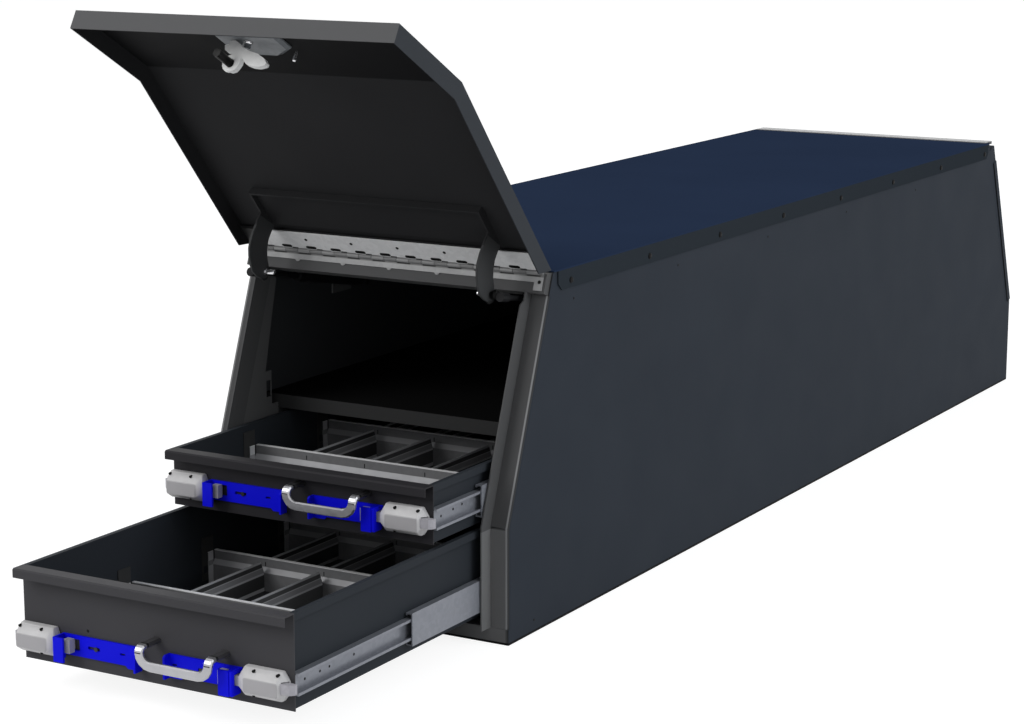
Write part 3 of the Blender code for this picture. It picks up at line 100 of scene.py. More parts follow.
def noise(tree, scale, detail=2.0):
    node = add(tree, "ShaderNodeTexNoise", Scale=scale, Detail=detail)
    tree.links.new(place(tree), node.inputs["Vector"])
    return node.outputs["Fac"]


def ranged(tree, value, low, high, start=0.35, end=0.65):
    """Turns the stretch from start to end into the one from low to high."""
    node = add(tree, "ShaderNodeMapRange", From_Min=start, From_Max=end, To_Min=low, To_Max=high)
    tree.links.new(value, node.inputs["Value"])
    return node.outputs["Result"]


def mixed(tree, factor, first, second):
    node = tree.nodes.new("ShaderNodeMix")
    node.data_type = "RGBA"
    tree.links.new(factor, node.inputs["Factor"])
    for socket, colour in ((node.inputs["A"], first), (node.inputs["B"], second)):
        if isinstance(colour, tuple):
            socket.default_value = (*colour, 1)
        else:
            tree.links.new(colour, socket)
    return node.outputs["Result"]


def maths(tree, operation, first, second=None):
    node = tree.nodes.new("ShaderNodeMath")
    node.operation = operation
    for socket, value in zip(node.inputs, (first, second)):
        if isinstance(value, (int, float)):
            socket.default_value = value
        elif value is not None:
            tree.links.new(value, socket)
    return node.outputs[0]


def dot(tree, source, direction):
    node = tree.nodes.new("ShaderNodeVectorMath")
    node.operation = "DOT_PRODUCT"
    tree.links.new(source, node.inputs[0])
    node.inputs[1].default_value = direction
    return node.outputs["Value"]


# Zones: each is a function that gives 1 in one place on the toolbox and 0 elsewhere

FAR = 10.0
SOFT_EDGE = 0.0003
SOFT_LOOK = 0.05


def between(tree, value, low, high, soft=SOFT_EDGE):
    """1 where a value lies between two limits."""
    rise = ranged(tree, value, 0.0, 1.0, low - soft, low + soft)
    fall = ranged(tree, value, 1.0, 0.0, high - soft, high + soft)
    return maths(tree, "MULTIPLY", rise, fall)


def along(direction, low=-FAR, high=FAR, start=(0, 0, 0), soft=SOFT_EDGE):
    """Places between two distances from a point along a direction."""
    shift = Vector(direction).dot(Vector(start))
    return lambda tree: between(tree, dot(tree, place(tree), direction), low + shift, high + shift, soft)


def outwards(low=-FAR, high=FAR):
    """Places between two distances from the middle, on both sides."""
    return lambda tree: between(tree, maths(tree, "ABSOLUTE", dot(tree, place(tree), X)), low, high)


def facing(direction, least, either_way=False):
    """Surfaces that look along a direction."""

    def zone(tree):
        look = dot(tree, tree.nodes.new("ShaderNodeTexCoord").outputs["Normal"], direction)
        if either_way:
            look = maths(tree, "ABSOLUTE", look)
        return between(tree, look, least, FAR, SOFT_LOOK)

    return zone


def both(first, second):
    return lambda tree: maths(tree, "MULTIPLY", first(tree), second(tree))


def either(first, second):
    return lambda tree: maths(tree, "MAXIMUM", first(tree), second(tree))


# Zones of the cabinet: insets are counted from the outside of the side panels
FOLD_INSETS = (0.0048, 0.0024)
POST_FACE_INSET = 0.0047
PANEL_INSIDE_INSETS = (0.0021, 0.0006)
LOW_POST_TOP = 0.1615
BASE_LINE_TOP = 0.0035
ROOF_FOLD_Z = 0.4984
BAY_STRIP_END = -0.882
SHELF_LIP_DEPTH = 0.0025
REAR_FLANGE_START = (0, 1.0010, 0.1640)
REAR_FLANGE_BACK = (0, 0.9305, 0.3663)
REAR_FLANGE_EDGE_DEPTH = 0.0022

# Painted highlight on the bend where the side panels fold round to the post faces
FOLD_HIGHLIGHT = outwards(SIDE_OUT - FOLD_INSETS[0], SIDE_OUT - FOLD_INSETS[1])
POST_FACE = outwards(high=SIDE_OUT - POST_FACE_INSET)
PANEL_INSIDE = outwards(SIDE_OUT - PANEL_INSIDE_INSETS[0], SIDE_OUT - PANEL_INSIDE_INSETS[1])
LOW_POST = both(POST_FACE, along(Z, high=LOW_POST_TOP))
BASE_LINE = along(Z, high=BASE_LINE_TOP)
ROOF_FLANGE = along(Z, high=ROOF_FOLD_Z)
BAY_STRIP = along(Y, high=BAY_STRIP_END)
SHELF_LIP = along(Y, high=SHELF_FRONT + SHELF_LIP_DEPTH)
REAR_FLANGE_EDGE = along(REAR_FLANGE_BACK, high=REAR_FLANGE_EDGE_DEPTH, start=REAR_FLANGE_START)

# Zones of the lid with its hinge, lever and latch
KINK_Z = 0.7755
LOWER_END = (0, -1.27895, 0.85683)
LID_LIP_DEPTH = 0.0012
LID_FLANGE_INSET = 0.0012
KNUCKLE_REACH = 0.0036
LID_LEAF_END_X = -0.2175
FRAME_KNUCKLE_Z = 0.4930
LEVER_EDGE_START = (0, FRONT + 0.0303, 0.5892)
LEVER_EDGE_OUT, LEVER_EDGE_AWAY = 0.0080, -0.0030
BARREL_CENTRE = (0, -1.255, 0.8007)
BARREL_DEPTH = 0.0066

LOWER_WALL = both(along(Z, low=KINK_Z, soft=0.001), facing(LOWER_OUT, least=0.5))
LID_LIP = along(LOWER_BACK, high=LID_LIP_DEPTH, start=LOWER_END)
LID_FLANGE = outwards(SIDE_OUT - LID_FLANGE_INSET)
LID_KNUCKLES = along(LID_AWAY, high=KNUCKLE_REACH, start=PIN)
LID_LEAF_END = along(X, high=LID_LEAF_END_X)
FRAME_KNUCKLES = along(Z, low=FRAME_KNUCKLE_Z)
LEVER_EDGE = both(along(LID_OUT, low=LEVER_EDGE_OUT, start=LEVER_EDGE_START),
                  along(LID_AWAY, low=LEVER_EDGE_AWAY, start=LEVER_EDGE_START))
LATCH_BARREL = along(LOWER_OUT, low=-BARREL_DEPTH, start=BARREL_CENTRE)

# Zones of the drawers: heights are counted from a drawer's bottom, depths from its face or its handle's bar
DRAWER_SIDE_X = 0.2030
BRACKET_X = 0.2027
LONG_DIVIDER_XS = (-0.1139, -0.0147, 0.0858)
SLIT_HALF = 0.0008
LOW_SLITS, HIGH_SLITS = (0.0070, 0.0255), (0.0368, 0.0430)
LEDGE, HEM = (0.0285, 0.0356), (0.0480, 0.0500)
CASE_FACE_DEPTH = 0.0193
HANDLE_BAR_DEPTH = 0.0363
LEG_GAP = (0.0085, 0.0135)

DRAWER_SIDE = outwards(DRAWER_SIDE_X)
DIVIDER_BRACKET = outwards(BRACKET_X)
LONG_DIVIDER = facing(X, least=0.7, either_way=True)


def raised(bottom, heights):
    """Places between two heights above a drawer's bottom."""
    return along(Z, bottom + heights[0], bottom + heights[1])


def divider_slits(bottom):
    """Where the long dividers pass through the cross dividers."""
    slits = None
    for x in LONG_DIVIDER_XS:
        slit = along(X, x - SLIT_HALF, x + SLIT_HALF)
        slits = either(slits, slit) if slits else slit
    return both(slits, either(raised(bottom, LOW_SLITS), raised(bottom, HIGH_SLITS)))


def handle_leg(label, low, high=FAR):
    """A stretch of the handle's legs, by its depth behind the bar."""
    bar = (0, FACES[label] - HANDLE_BAR_DEPTH, 0)
    return along(Y, low, high, bar, soft=0.0006)


# Finishes


def finish(name, colour, spread, clouds, rough, grain, zones=()):
    """
    A material whose colour varies between two shares of itself, with an uneven roughness and a fine bump.
    spread holds the two shares of the colour and clouds the pattern between them. rough holds the lowest and
    highest roughness and the scale of their noise, and grain the bump's scale, detail, strength and depth.
    zones are pairs of a zone and its own colour.
    """
    made = bpy.data.materials.new(name)
    made.use_nodes = True
    tree = made.node_tree
    shader = tree.nodes["Principled BSDF"]
    base = mixed(tree, clouds(tree), times(colour, spread[0]), times(colour, spread[1]))
    for zone, shade in zones:
        base = mixed(tree, zone(tree), base, shade)
    tree.links.new(base, shader.inputs["Base Color"])
    low, high, scale = rough
    tree.links.new(ranged(tree, noise(tree, scale), low, high), shader.inputs["Roughness"])
    scale, detail, strength, depth = grain
    bump = add(tree, "ShaderNodeBump", Strength=strength, Distance=depth)
    tree.links.new(noise(tree, scale, detail), bump.inputs["Height"])
    tree.links.new(bump.outputs["Normal"], shader.inputs["Normal"])
    return made, tree, shader


def clouded(scale, detail=2.0):
    return lambda tree: ranged(tree, noise(tree, scale, detail), 0.0, 1.0)


def crystals(tree):
    """A grey of its own for each crystal of galvanised sheet."""
    cells = add(tree, "ShaderNodeTexVoronoi", Scale=170.0)
    tree.links.new(place(tree), cells.inputs["Vector"])
    parts = tree.nodes.new("ShaderNodeSeparateColor")
    tree.links.new(cells.outputs["Color"], parts.inputs["Color"])
    return parts.outputs["Red"]


def powder_coat(name, colour, rough=0.6, specular=0.03, zones=()):
    """Satin powder coat with a fine orange peel."""
    made, _, shader = finish(
        name, colour, (0.97, 1.03), clouded(5.0, 3.0), (rough - 0.02, rough + 0.03, 12.0),
        (1400.0, 1.0, 0.05, 0.0001), zones)
    shader.inputs["Specular IOR Level"].default_value = specular
    return made


def zinc(name, colour, rough=0.38, metallic=0.05, zones=()):
    """Galvanised sheet."""
    made, _, shader = finish(
        name, colour, (0.95, 1.05), crystals, (rough - 0.05, rough + 0.08, 60.0),
        (500.0, 2.0, 0.06, 0.0002), zones)
    shader.inputs["Specular IOR Level"].default_value = 0.15
    shader.inputs["Metallic"].default_value = metallic
    return made


def casting(name, colour, zones=()):
    """Fine-grained grey casting with a soft sheen."""
    made, _, _ = finish(
        name, colour, (0.97, 1.03), clouded(90.0, 4.0), (0.44, 0.56, 160.0),
        (1600.0, 2.0, 0.06, 0.0001), zones)
    return made


def satin_metal(name, colour, rough, metallic, zones=()):
    """Bright metal with faint drawing marks; its zones aren't metal."""
    made, tree, shader = finish(
        name, colour, (0.94, 1.04), clouded(40.0, 3.0), (rough - 0.04, rough + 0.06, 220.0),
        (900.0, 2.0, 0.01, 0.00005), zones)
    shader.inputs["Metallic"].default_value = metallic
    for zone, _ in zones:
        metallic = maths(tree, "MULTIPLY", metallic, maths(tree, "SUBTRACT", 1.0, zone(tree)))
        tree.links.new(metallic, shader.inputs["Metallic"])
    return made


def moulding(name, colour, rough=0.4):
    """Black moulded plastic with a fine grain."""
    made, _, shader = finish(
        name, colour, (0.9, 1.15), clouded(50.0), (rough - 0.05, rough + 0.05, 120.0),
        (1500.0, 2.0, 0.05, 0.0001))
    shader.inputs["Specular IOR Level"].default_value = 0.12
    return made


# Colours

# Dark paint with a painted bluish sky reflection mixed into its colour
SIDE_BLUE = (0.031, 0.037, 0.047)
POST_GREY = (0.085, 0.085, 0.086)
STRUT_BLACK = (0.010, 0.010, 0.011)
LID_BLACK = (0.024, 0.024, 0.025)
DRAWER_SHADES = {"lower": (0.054, 0.053, 0.057), "upper": (0.027, 0.026, 0.029)}
# Painted light on the low posts' faces, lifting the shadow the drawers cast on them
LOW_POST_PAINTED_LIGHT = grey(0.16)
# Near black for painted shade in slots, holes and shadow lines
PAINTED_SHADE_BLACK = grey(0.004)

SCREW_BLACK = moulding("screw_black", (0.0015, 0.0015, 0.0018), 0.5)
# Painted shade: dark marks for the driver slots, the hinge leaf's slots and the holes, also worn by the
# hinge's small screws
DARK = moulding("dark_recess", PAINTED_SHADE_BLACK, 0.6)
BRIGHT = satin_metal("bright_steel", (0.72, 0.72, 0.74), 0.2, 0.9)
HINGE_LIP = zinc("hinge_lip", grey(0.52), metallic=0.1)
SCALLOP = zinc("hinge_scallop_zinc", grey(0.30))
ARM_PAINT = powder_coat("arm_paint", (0.046, 0.047, 0.048), 0.5, 0.06)
LEVER_BLUE = powder_coat("lever_blue", (0.003, 0.004, 0.76), 0.45, 0.1)
# The flanges' front edge is painted black, a painted shadow line
REAR_FLANGE = powder_coat("rear_flange_paint", SIDE_BLUE, zones=[(REAR_FLANGE_EDGE, PAINTED_SHADE_BLACK)])
# Painted light: each case is painted lighter than its raised face, for the sloping borders that face up
CASES = {label: casting(label + "_case", (0.58, 0.57, 0.57), [
    (along(Y, high=FACES[label] - CASE_FACE_DEPTH), (0.38, 0.37, 0.38))]) for label in LABELS}


def slot_finishes():
    """Finishes by the record's material slots."""
    return {
        "body_paint": powder_coat("body_paint", SIDE_BLUE),
        # Painted light: the front strip of the bay walls lighter than the walls behind it, which lie in
        # shade
        "bay_paint": powder_coat("bay_paint", (0.060, 0.060, 0.061), 0.6, 0.02, [(BAY_STRIP, grey(0.115))]),
        "base_paint": powder_coat("base_paint", (0.012, 0.012, 0.013)),
        "roof_paint": powder_coat("roof_paint", (0.022, 0.035, 0.070), 0.7, 0.0, [
            (ROOF_FLANGE, (0.030, 0.036, 0.043))]),
        # Painted shade on the lid's lower wall, which looks down, and a painted highlight on its lip
        "lid_paint": powder_coat("lid_paint", LID_BLACK, 0.55, 0.02, [
            (LOWER_WALL, (0.010, 0.010, 0.0105)), (LID_FLANGE, (0.046, 0.050, 0.056)),
            (LID_LIP, (0.115, 0.115, 0.117))]),
        "hinge_zinc": zinc("hinge_zinc", grey(0.30), metallic=0.1),
        "slide_zinc": zinc("slide_zinc", (0.24, 0.25, 0.28), metallic=0.4),
        "lower_drawer_paint": powder_coat("lower_drawer_paint", DRAWER_SHADES["lower"], 0.5, 0.08),
        "upper_drawer_paint": powder_coat("upper_drawer_paint", DRAWER_SHADES["upper"], 0.5, 0.08),
        "bolt_grey": zinc("bolt_grey", (0.40, 0.39, 0.42), metallic=0.1),
        "lever_blue": LEVER_BLUE,
        "strut_rod_steel": moulding("strut_rod_dark", STRUT_BLACK),
        "strut_cylinder_paint": powder_coat("strut_cylinder_paint", STRUT_BLACK, 0.5, 0.12),
        # The latch plate's barrel is painted near black, a painted shadow inside the claw's hook
        "latch_plate_steel": zinc("latch_plate_steel", (0.16, 0.17, 0.18), zones=[
            (LATCH_BARREL, grey(0.003))]),
        "claw_grey": casting("claw_grey", (0.72, 0.72, 0.71)),
        "lid_handle_black": moulding("lid_handle_black", grey(0.012)),
        "rear_door_paint": powder_coat("rear_door_paint", SIDE_BLUE),
        "rear_latch_black": moulding("rear_latch_black", grey(0.012)),
    }


def node_finishes():
    """Finishes of single nodes, which come before those of the slots."""
    # Posts, header and sill, with painted light on the low posts' faces
    post = powder_coat("post_paint", POST_GREY, 0.55, 0.05, [(LOW_POST, LOW_POST_PAINTED_LIGHT)])
    # The side panels, with a painted highlight on the bend of their front fold
    side = powder_coat("side_paint", SIDE_BLUE, zones=[
        (POST_FACE, POST_GREY), (LOW_POST, LOW_POST_PAINTED_LIGHT), (PANEL_INSIDE, grey(0.055)),
        (FOLD_HIGHLIGHT, grey(0.24)), (BASE_LINE, grey(0.003))])
    made = {
        "front_header": post,
        "front_sill": post,
        # Painted shade: the shelf near black, with its front lip less dark
        "shelf": powder_coat("shelf_paint", grey(0.008), 0.6, 0.0, [(SHELF_LIP, grey(0.040))]),
        # Painted highlight along the top edge of the lever's plate
        "strut_lever": powder_coat("lever_paint", LID_BLACK, 0.5, 0.03, [(LEVER_EDGE, grey(0.085))]),
        # Painted light: the lid leaf far lighter than the frame leaf, against the shade it faces into;
        # painted shade on both leaves' knuckles, toning down the light they catch
        "hinge_lid_leaf": zinc("hinge_lid_zinc", grey(0.70), zones=[
            (LID_KNUCKLES, grey(0.22)), (LID_LEAF_END, grey(0.02))]),
        "hinge_frame_leaf": zinc("hinge_frame_zinc", grey(0.30), zones=[(FRAME_KNUCKLES, grey(0.17))]),
    }
    for _, word in SIDES:
        made["side_panel_" + word] = side
        made["front_post_" + word] = post
    for label in LABELS:
        shade, bottom = DRAWER_SHADES[label], BOTTOMS[label]
        # The boxes' sides are painted bluish, a painted sky reflection on faces that look sideways
        made[label + "_drawer_box"] = powder_coat(label + "_box_paint", shade, 0.5, 0.03, [
            (DRAWER_SIDE, (0.030, 0.034, 0.040))])
        # Painted light and shade on galvanised dividers: the long dividers' sideways faces and the ledges
        # lighter, a painted highlight on the hems, painted shade on the brackets and in the slits
        made[label + "_dividers"] = zinc(label + "_divider_zinc", (0.19, 0.19, 0.195), 0.5, 0.1, [
            (LONG_DIVIDER, (0.66, 0.66, 0.67)), (raised(bottom, LEDGE), (0.36, 0.36, 0.37)),
            (raised(bottom, HEM), grey(0.80)), (DIVIDER_BRACKET, grey(0.045)),
            (divider_slits(bottom), grey(0.005))])
        made[label + "_handle"] = satin_metal(label + "_handle_satin", (0.43, 0.43, 0.45), 0.32, 0.8, [
            (handle_leg(label, *LEG_GAP), grey(0.003)), (handle_leg(label, LEG_GAP[1]), shade)])
        for _, word in SIDES:
            made[f"{label}_latch_case_{word}"] = CASES[label]
    return made


def paint_nodes():
    by_slot, by_node = slot_finishes(), node_finishes()
    for node in NODES.values():
        for slot in node.material_slots:
            key = slot.material.name.split(".")[0]
            slot.material = by_node[node.name] if node.name in by_node else by_slot[key]


# Forms

ARC_STEP_DEGREES = 30
SHARP_EDGE_DEGREES = 35


def skin(shape, rings):
    """Joins rings of as many points, with a face at both ends."""
    loops = [[shape.verts.new(point) for point in ring] for ring in rings]
    for low, high in zip(loops, loops[1:]):
        for i in range(len(low)):
            j = (i + 1) % len(low)
            shape.faces.new((low[i], low[j], high[j], high[i]))
    shape.faces.new(loops[0])
    shape.faces.new(loops[-1])


def turned(shape, spot, axis, profile, sides=20):
    """A round form along an axis, from pairs of a height and a radius."""
    axis = Vector(axis).normalized()
    side = axis.orthogonal().normalized()
    up = axis.cross(side)
    spokes = [cos(2 * pi * i / sides) * side + sin(2 * pi * i / sides) * up for i in range(sides)]
    skin(shape, [[Vector(spot) + axis * height + radius * spoke for spoke in spokes]
                 for height, radius in profile])


def slab(shape, centre, axes, sizes):
    """A flat bar with round ends, from its length, width and thickness and their axes."""
    length, width, height = (Vector(axis).normalized() for axis in axes)
    long, wide, thick = sizes
    outline = []
    for end, first in ((1, -90), (-1, 90)):
        for degrees in range(first, first + 181, ARC_STEP_DEGREES):
            turn = radians(degrees)
            outline.append((end * (long - wide) / 2 + wide / 2 * cos(turn), wide / 2 * sin(turn)))
    skin(shape, [[Vector(centre) + length * a + width * b + height * rise for a, b in outline]
                 for rise in (0, thick)])


def plate(shape, outline, side, near, far):
    """A sheet that stands upright on one side, from an outline of places in y and z."""
    skin(shape, [[(side * x, y, z) for y, z in outline] for x in (near, far)])


def block(low, high):
    """A box between two corners, to be bevelled or cut away."""
    shape = bmesh.new()
    bmesh.ops.create_cube(shape, size=1.0)
    for vert in shape.verts:
        vert.co = [(a + b) / 2 + share * (b - a) for a, b, share in zip(low, high, vert.co)]
    return shape


def cut(shape, tool):
    """The first form less the second, both closed."""
    made = []
    for name, form in (("cut_shape", shape), ("cut_tool", tool)):
        bmesh.ops.recalc_face_normals(form, faces=form.faces)
        mesh = bpy.data.meshes.new(name)
        form.to_mesh(mesh)
        form.free()
        made.append(bpy.data.objects.new(name, mesh))
        bpy.context.scene.collection.objects.link(made[-1])
    change = made[0].modifiers.new("cut", "BOOLEAN")
    change.operation = "DIFFERENCE"
    change.solver = "EXACT"
    change.object = made[1]
    bpy.context.view_layer.update()
    result = bmesh.new()
    result.from_mesh(made[0].evaluated_get(bpy.context.evaluated_depsgraph_get()).data)
    for item in made:
        mesh = item.data
        bpy.data.objects.remove(item)
        bpy.data.meshes.remove(mesh)
    return result


def piece(name, shape, material, body):
    """Makes an object of a form and lets it ride on a CAD body."""
    mesh = bpy.data.meshes.new(name)
    bmesh.ops.recalc_face_normals(shape, faces=shape.faces)
    shape.to_mesh(mesh)
    shape.free()
    mesh.materials.append(material)
    made = bpy.data.objects.new(name, mesh)
    bpy.context.scene.collection.objects.link(made)
    mesh.shade_smooth()
    mesh.set_sharp_from_angle(angle=radians(SHARP_EDGE_DEGREES))
    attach(made, body)
    return made


# Screws of the cabinet: places in y are counted from its front

ROOF_SCREW_COUNT, ROOF_SCREW_START, ROOF_SCREW_PITCH = 8, 0.1686, 0.2391
ROOF_SCREW_Z = 0.4815
ROOF_SCREW_PROFILE = [(0, 0.0046), (0.0008, 0.0046), (0.0018, 0.0038), (0.0023, 0.0020)]
DRIVER_SLOT = (0.0068, 0.0011, 0.0004)
DRIVER_SLOT_RISE = 0.0020
SIDE_SCREW_COUNT, SIDE_SCREW_START, SIDE_SCREW_PITCH = 5, 0.181, 0.3255
SIDE_SCREW_Z = 0.4535
FOOT_SCREW_Y, FOOT_SCREW_Z = 0.0705, 0.018
SIDE_SCREW_PROFILE = [(0, 0.0019), (0.0006, 0.0015)]


def cabinet_screws():
    """Pan-head screws along both roof flanges, and small blind screws in the side panels."""
    for side, word in reversed(SIDES):
        heads, slots, small = bmesh.new(), bmesh.new(), bmesh.new()
        out = Vector((side, 0, 0))
        for i in range(ROOF_SCREW_COUNT):
            y = FRONT + ROOF_SCREW_START + i * ROOF_SCREW_PITCH
            spot = Vector((side * ROOF_OUT, y, ROOF_SCREW_Z))
            turned(heads, spot, out, ROOF_SCREW_PROFILE)
            slab(slots, spot + out * DRIVER_SLOT_RISE, (Z, Y, out), DRIVER_SLOT)
        places = [(SIDE_SCREW_START + i * SIDE_SCREW_PITCH, SIDE_SCREW_Z) for i in range(SIDE_SCREW_COUNT)]
        for y, z in [*places, (FOOT_SCREW_Y, FOOT_SCREW_Z)]:
            turned(small, (side * SIDE_OUT, FRONT + y, z), out, SIDE_SCREW_PROFILE, 12)
        piece("roof_screws_" + word, heads, SCREW_BLACK, "cabinet")
        piece("roof_screw_slots_" + word, slots, DARK, "cabinet")
        piece("side_screws_" + word, small, SCREW_BLACK, "cabinet")


# Marks of the lid's hinge

LEAF_SLOT_COUNT, LEAF_SLOT_START, LEAF_SLOT_PITCH = 10, -0.1778, 0.042
LEAF_SLOT_PLACE = (FRONT + 0.1023, 0.5048)
LEAF_SLOT = (0.0175, 0.0054, 0.0006)
LEAF_SLOT_LIP = (0.0165, 0.0009, 0.0010)
LEAF_SLOT_LIP_DROP = 0.0031
LEAF_SCREW_COUNT, LEAF_SCREW_START, LEAF_SCREW_PITCH = 5, -0.1376, 0.0773
LEAF_SCREW_PLACE = (FRONT + 0.0917, 0.5174)
LEAF_SCREW_PROFILE = [(-0.0003, 0.0026), (0.0004, 0.0024)]
SUNK = 0.0003
TAB_SCREW_X = 0.2390
TAB_SCREW_PLACE = (FRONT + 0.1026, 0.4866)
TAB_SCREW_PROFILE = [(0, 0.0026), (0.0004, 0.0022)]
SCALLOP_XS = (-0.1602, -0.0823, -0.0043, 0.0750)
SCALLOP_PLACE = (FRONT + 0.1036, 0.4873)
SCALLOP_PROFILE = [(-0.0006, 0.0044), (0.0002, 0.0044), (0.0004, 0.0040)]


def hinge_marks():
    """Slots and screws of the lid leaf, and the tab screws and scallops of the frame leaf."""
    slots, lips, screws, tabs, scallops = (bmesh.new() for _ in range(5))
    for i in range(LEAF_SLOT_COUNT):
        spot = Vector((LEAF_SLOT_START + i * LEAF_SLOT_PITCH, *LEAF_SLOT_PLACE)) - LID_OUT * SUNK
        slab(slots, spot, (X, LID_AWAY, LID_OUT), LEAF_SLOT)
        slab(lips, spot - LID_AWAY * LEAF_SLOT_LIP_DROP, (X, LID_AWAY, LID_OUT), LEAF_SLOT_LIP)
    for i in range(LEAF_SCREW_COUNT):
        spot = (LEAF_SCREW_START + i * LEAF_SCREW_PITCH, *LEAF_SCREW_PLACE)
        turned(screws, spot, LID_OUT, LEAF_SCREW_PROFILE, 12)
    for side, _ in SIDES:
        turned(tabs, (side * TAB_SCREW_X, *TAB_SCREW_PLACE), FRAME_OUT, TAB_SCREW_PROFILE, 16)
    for x in SCALLOP_XS:
        turned(scallops, (x, *SCALLOP_PLACE), FRAME_OUT, SCALLOP_PROFILE, 16)
    piece("hinge_leaf_slots", slots, DARK, "lid")
    piece("hinge_leaf_lips", lips, HINGE_LIP, "lid")
    piece("hinge_leaf_screws", screws, DARK, "lid")
    piece("hinge_tab_screws", tabs, DARK, "cabinet")
    piece("hinge_leaf_scallops", scallops, SCALLOP, "cabinet")


# Arms of the strut lever

ARM_NEAR, ARM_FAR = 0.1857, 0.1893
ARM_BEVEL = 0.0006
# In millimetres from the cabinet's front and base: the outer edge down to the hook, then the inner one up
ARM_OUTLINE_MM = [
    (50, 555), (41, 544), (32, 533), (25, 519.5), (22, 510), (22, 499.5), (25, 487), (28.5, 476.5),
    (38, 468.5), (46, 464.5), (53, 462.3), (60, 462.3), (65, 465), (67.5, 469.5), (68, 475), (67.4, 480),
    (63.4, 492), (63.4, 504.8), (67.6, 517.8), (75.6, 528.6), (84.4, 535)]
ARM_OUTLINE = [(FRONT + y / 1000, z / 1000) for y, z in ARM_OUTLINE_MM]
STUD_PLACE = (FRONT + 0.0570, 0.4725)
STUD_PROFILE = [(0, 0.0046), (0.003, 0.0046), (0.0032, 0.0036), (0.0165, 0.0036), (0.0175, 0.0028)]
JOINT_PROFILE = [
    (0, 0.0040), (0.003, 0.0040), (0.0042, 0.0062), (0.0075, 0.0074), (0.0105, 0.0062), (0.012, 0.0036)]


def lever_arms():
    """The hooked arms, wider than the sheet of the CAD, with their bright studs and the right ball joint."""
    arms, studs, joint = bmesh.new(), bmesh.new(), bmesh.new()
    for side, _ in SIDES:
        plate(arms, ARM_OUTLINE, side, ARM_NEAR, ARM_FAR)
        turned(studs, (side * ARM_NEAR, *STUD_PLACE), (-side, 0, 0), STUD_PROFILE)
    flat = [edge for edge in arms.edges if abs(edge.verts[0].co.x - edge.verts[1].co.x) < 1e-6]
    bmesh.ops.bevel(arms, geom=flat, offset=ARM_BEVEL, segments=2, affect="EDGES")
    turned(joint, (ARM_FAR, *STUD_PLACE), X, JOINT_PROFILE)
    piece("lever_arm_plates", arms, ARM_PAINT, "lid")
    piece("strut_stud_ends", studs, BRIGHT, "lid")
    piece("strut_ball_joints", joint, SCREW_BLACK, "lid")


# Covers of the latch cases

CASE_GAP = 0.0003
# Run and rise of the chamfers beside the lever, then run and rise of those outside
WALL_CHAMFERS = (0.005, 0.013, 0.008, 0.012)
RIM_CHAMFERS = (0.0048, 0.0125, 0.0072, 0.0115)
TOP_CHAMFERS = (0.001, 0.001, 0.001, 0.001)
# Depth, depth beside the lever, inset beside the lever, inset outside, reach below and above, chamfers
CASE_LAYERS = (
    (0.0, 0.0, 0.0, 0.0, 0.019, 0.019, WALL_CHAMFERS),
    (0.0075, 0.0150, 0.0, 0.0, 0.019, 0.019, WALL_CHAMFERS),
    (0.0102, 0.0165, 0.0012, 0.0030, 0.0182, 0.0182, RIM_CHAMFERS),
    (0.0195, 0.0195, 0.0110, 0.0080, 0.0115, 0.0066, TOP_CHAMFERS),
)
CASE_BEVEL = 0.0006
# The way of the bolt through the case
BOLT_WAY_DEPTH = 0.0085
BOLT_WAY = Vector((0.09, 0.0105, 0.0156))
CASE_HOLE_DEPTH = 0.0124
CASE_HOLE_IN, CASE_HOLE_OUT = 0.0220, 0.0105
CASE_HOLE_ABOVE, CASE_HOLE_BELOW = 0.0156, -0.0154
CASE_HOLE_PROFILE = [(-0.003, 0.0019), (0.0022, 0.0019)]


def case_ring(layer, side, inner, outer, face, centre):
    """The eight corners of one layer of a latch case."""
    depth, deep, inset_in, inset_out, below, above, (run_in, rise_in, run_out, rise_out) = layer
    near, far = inner + inset_in, outer - inset_out
    corners = [
        (near + run_in, -below, depth), (far - run_out, -below, depth), (far, rise_out - below, depth),
        (far, above - rise_out, depth), (far - run_out, above, depth), (near + run_in, above, depth),
        (near, above - rise_in, deep), (near, rise_in - below, deep)]
    return [(side * x, face - back, centre + z) for x, z, back in corners]


def latch_cover(label, side, word):
    """A cast case with a rectangular raised face, sloping borders and screw holes."""
    name = f"{label}_latch_case_{word}"
    face, centre = FACES[label] - CASE_GAP, BOTTOMS[label] + LATCH_RISE
    low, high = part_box(name)
    inner, outer = sorted((abs(low.x), abs(high.x)))
    shape = bmesh.new()
    skin(shape, [case_ring(layer, side, inner, outer, face, centre) for layer in CASE_LAYERS])
    bmesh.ops.recalc_face_normals(shape, faces=shape.faces)
    bmesh.ops.bevel(shape, geom=list(shape.edges), offset=CASE_BEVEL, segments=2, affect="EDGES")
    middle = Vector((side * (inner + outer) / 2, face - BOLT_WAY_DEPTH, centre))
    way = block(middle - BOLT_WAY / 2, middle + BOLT_WAY / 2)
    made = piece(name + "_cover", cut(shape, way), CASES[label], label + "_drawer")
    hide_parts(name)
    holes = bmesh.new()
    for x, z in ((inner + CASE_HOLE_IN, CASE_HOLE_ABOVE), (outer - CASE_HOLE_OUT, CASE_HOLE_ABOVE),
                 (inner + CASE_HOLE_IN, CASE_HOLE_BELOW)):
        turned(holes, (side * x, face - CASE_HOLE_DEPTH, centre + z), (0, -1, 0), CASE_HOLE_PROFILE, 14)
    piece(name + "_screw_holes", holes, DARK, label + "_drawer")


# Hooks of the right levers

HOOK_NEAR, HOOK_FAR = 0.1291, 0.1349
HOOK_BACK = 0.0036
HOOK_RISE = 0.0115
HOOK_BEVEL = 0.0012
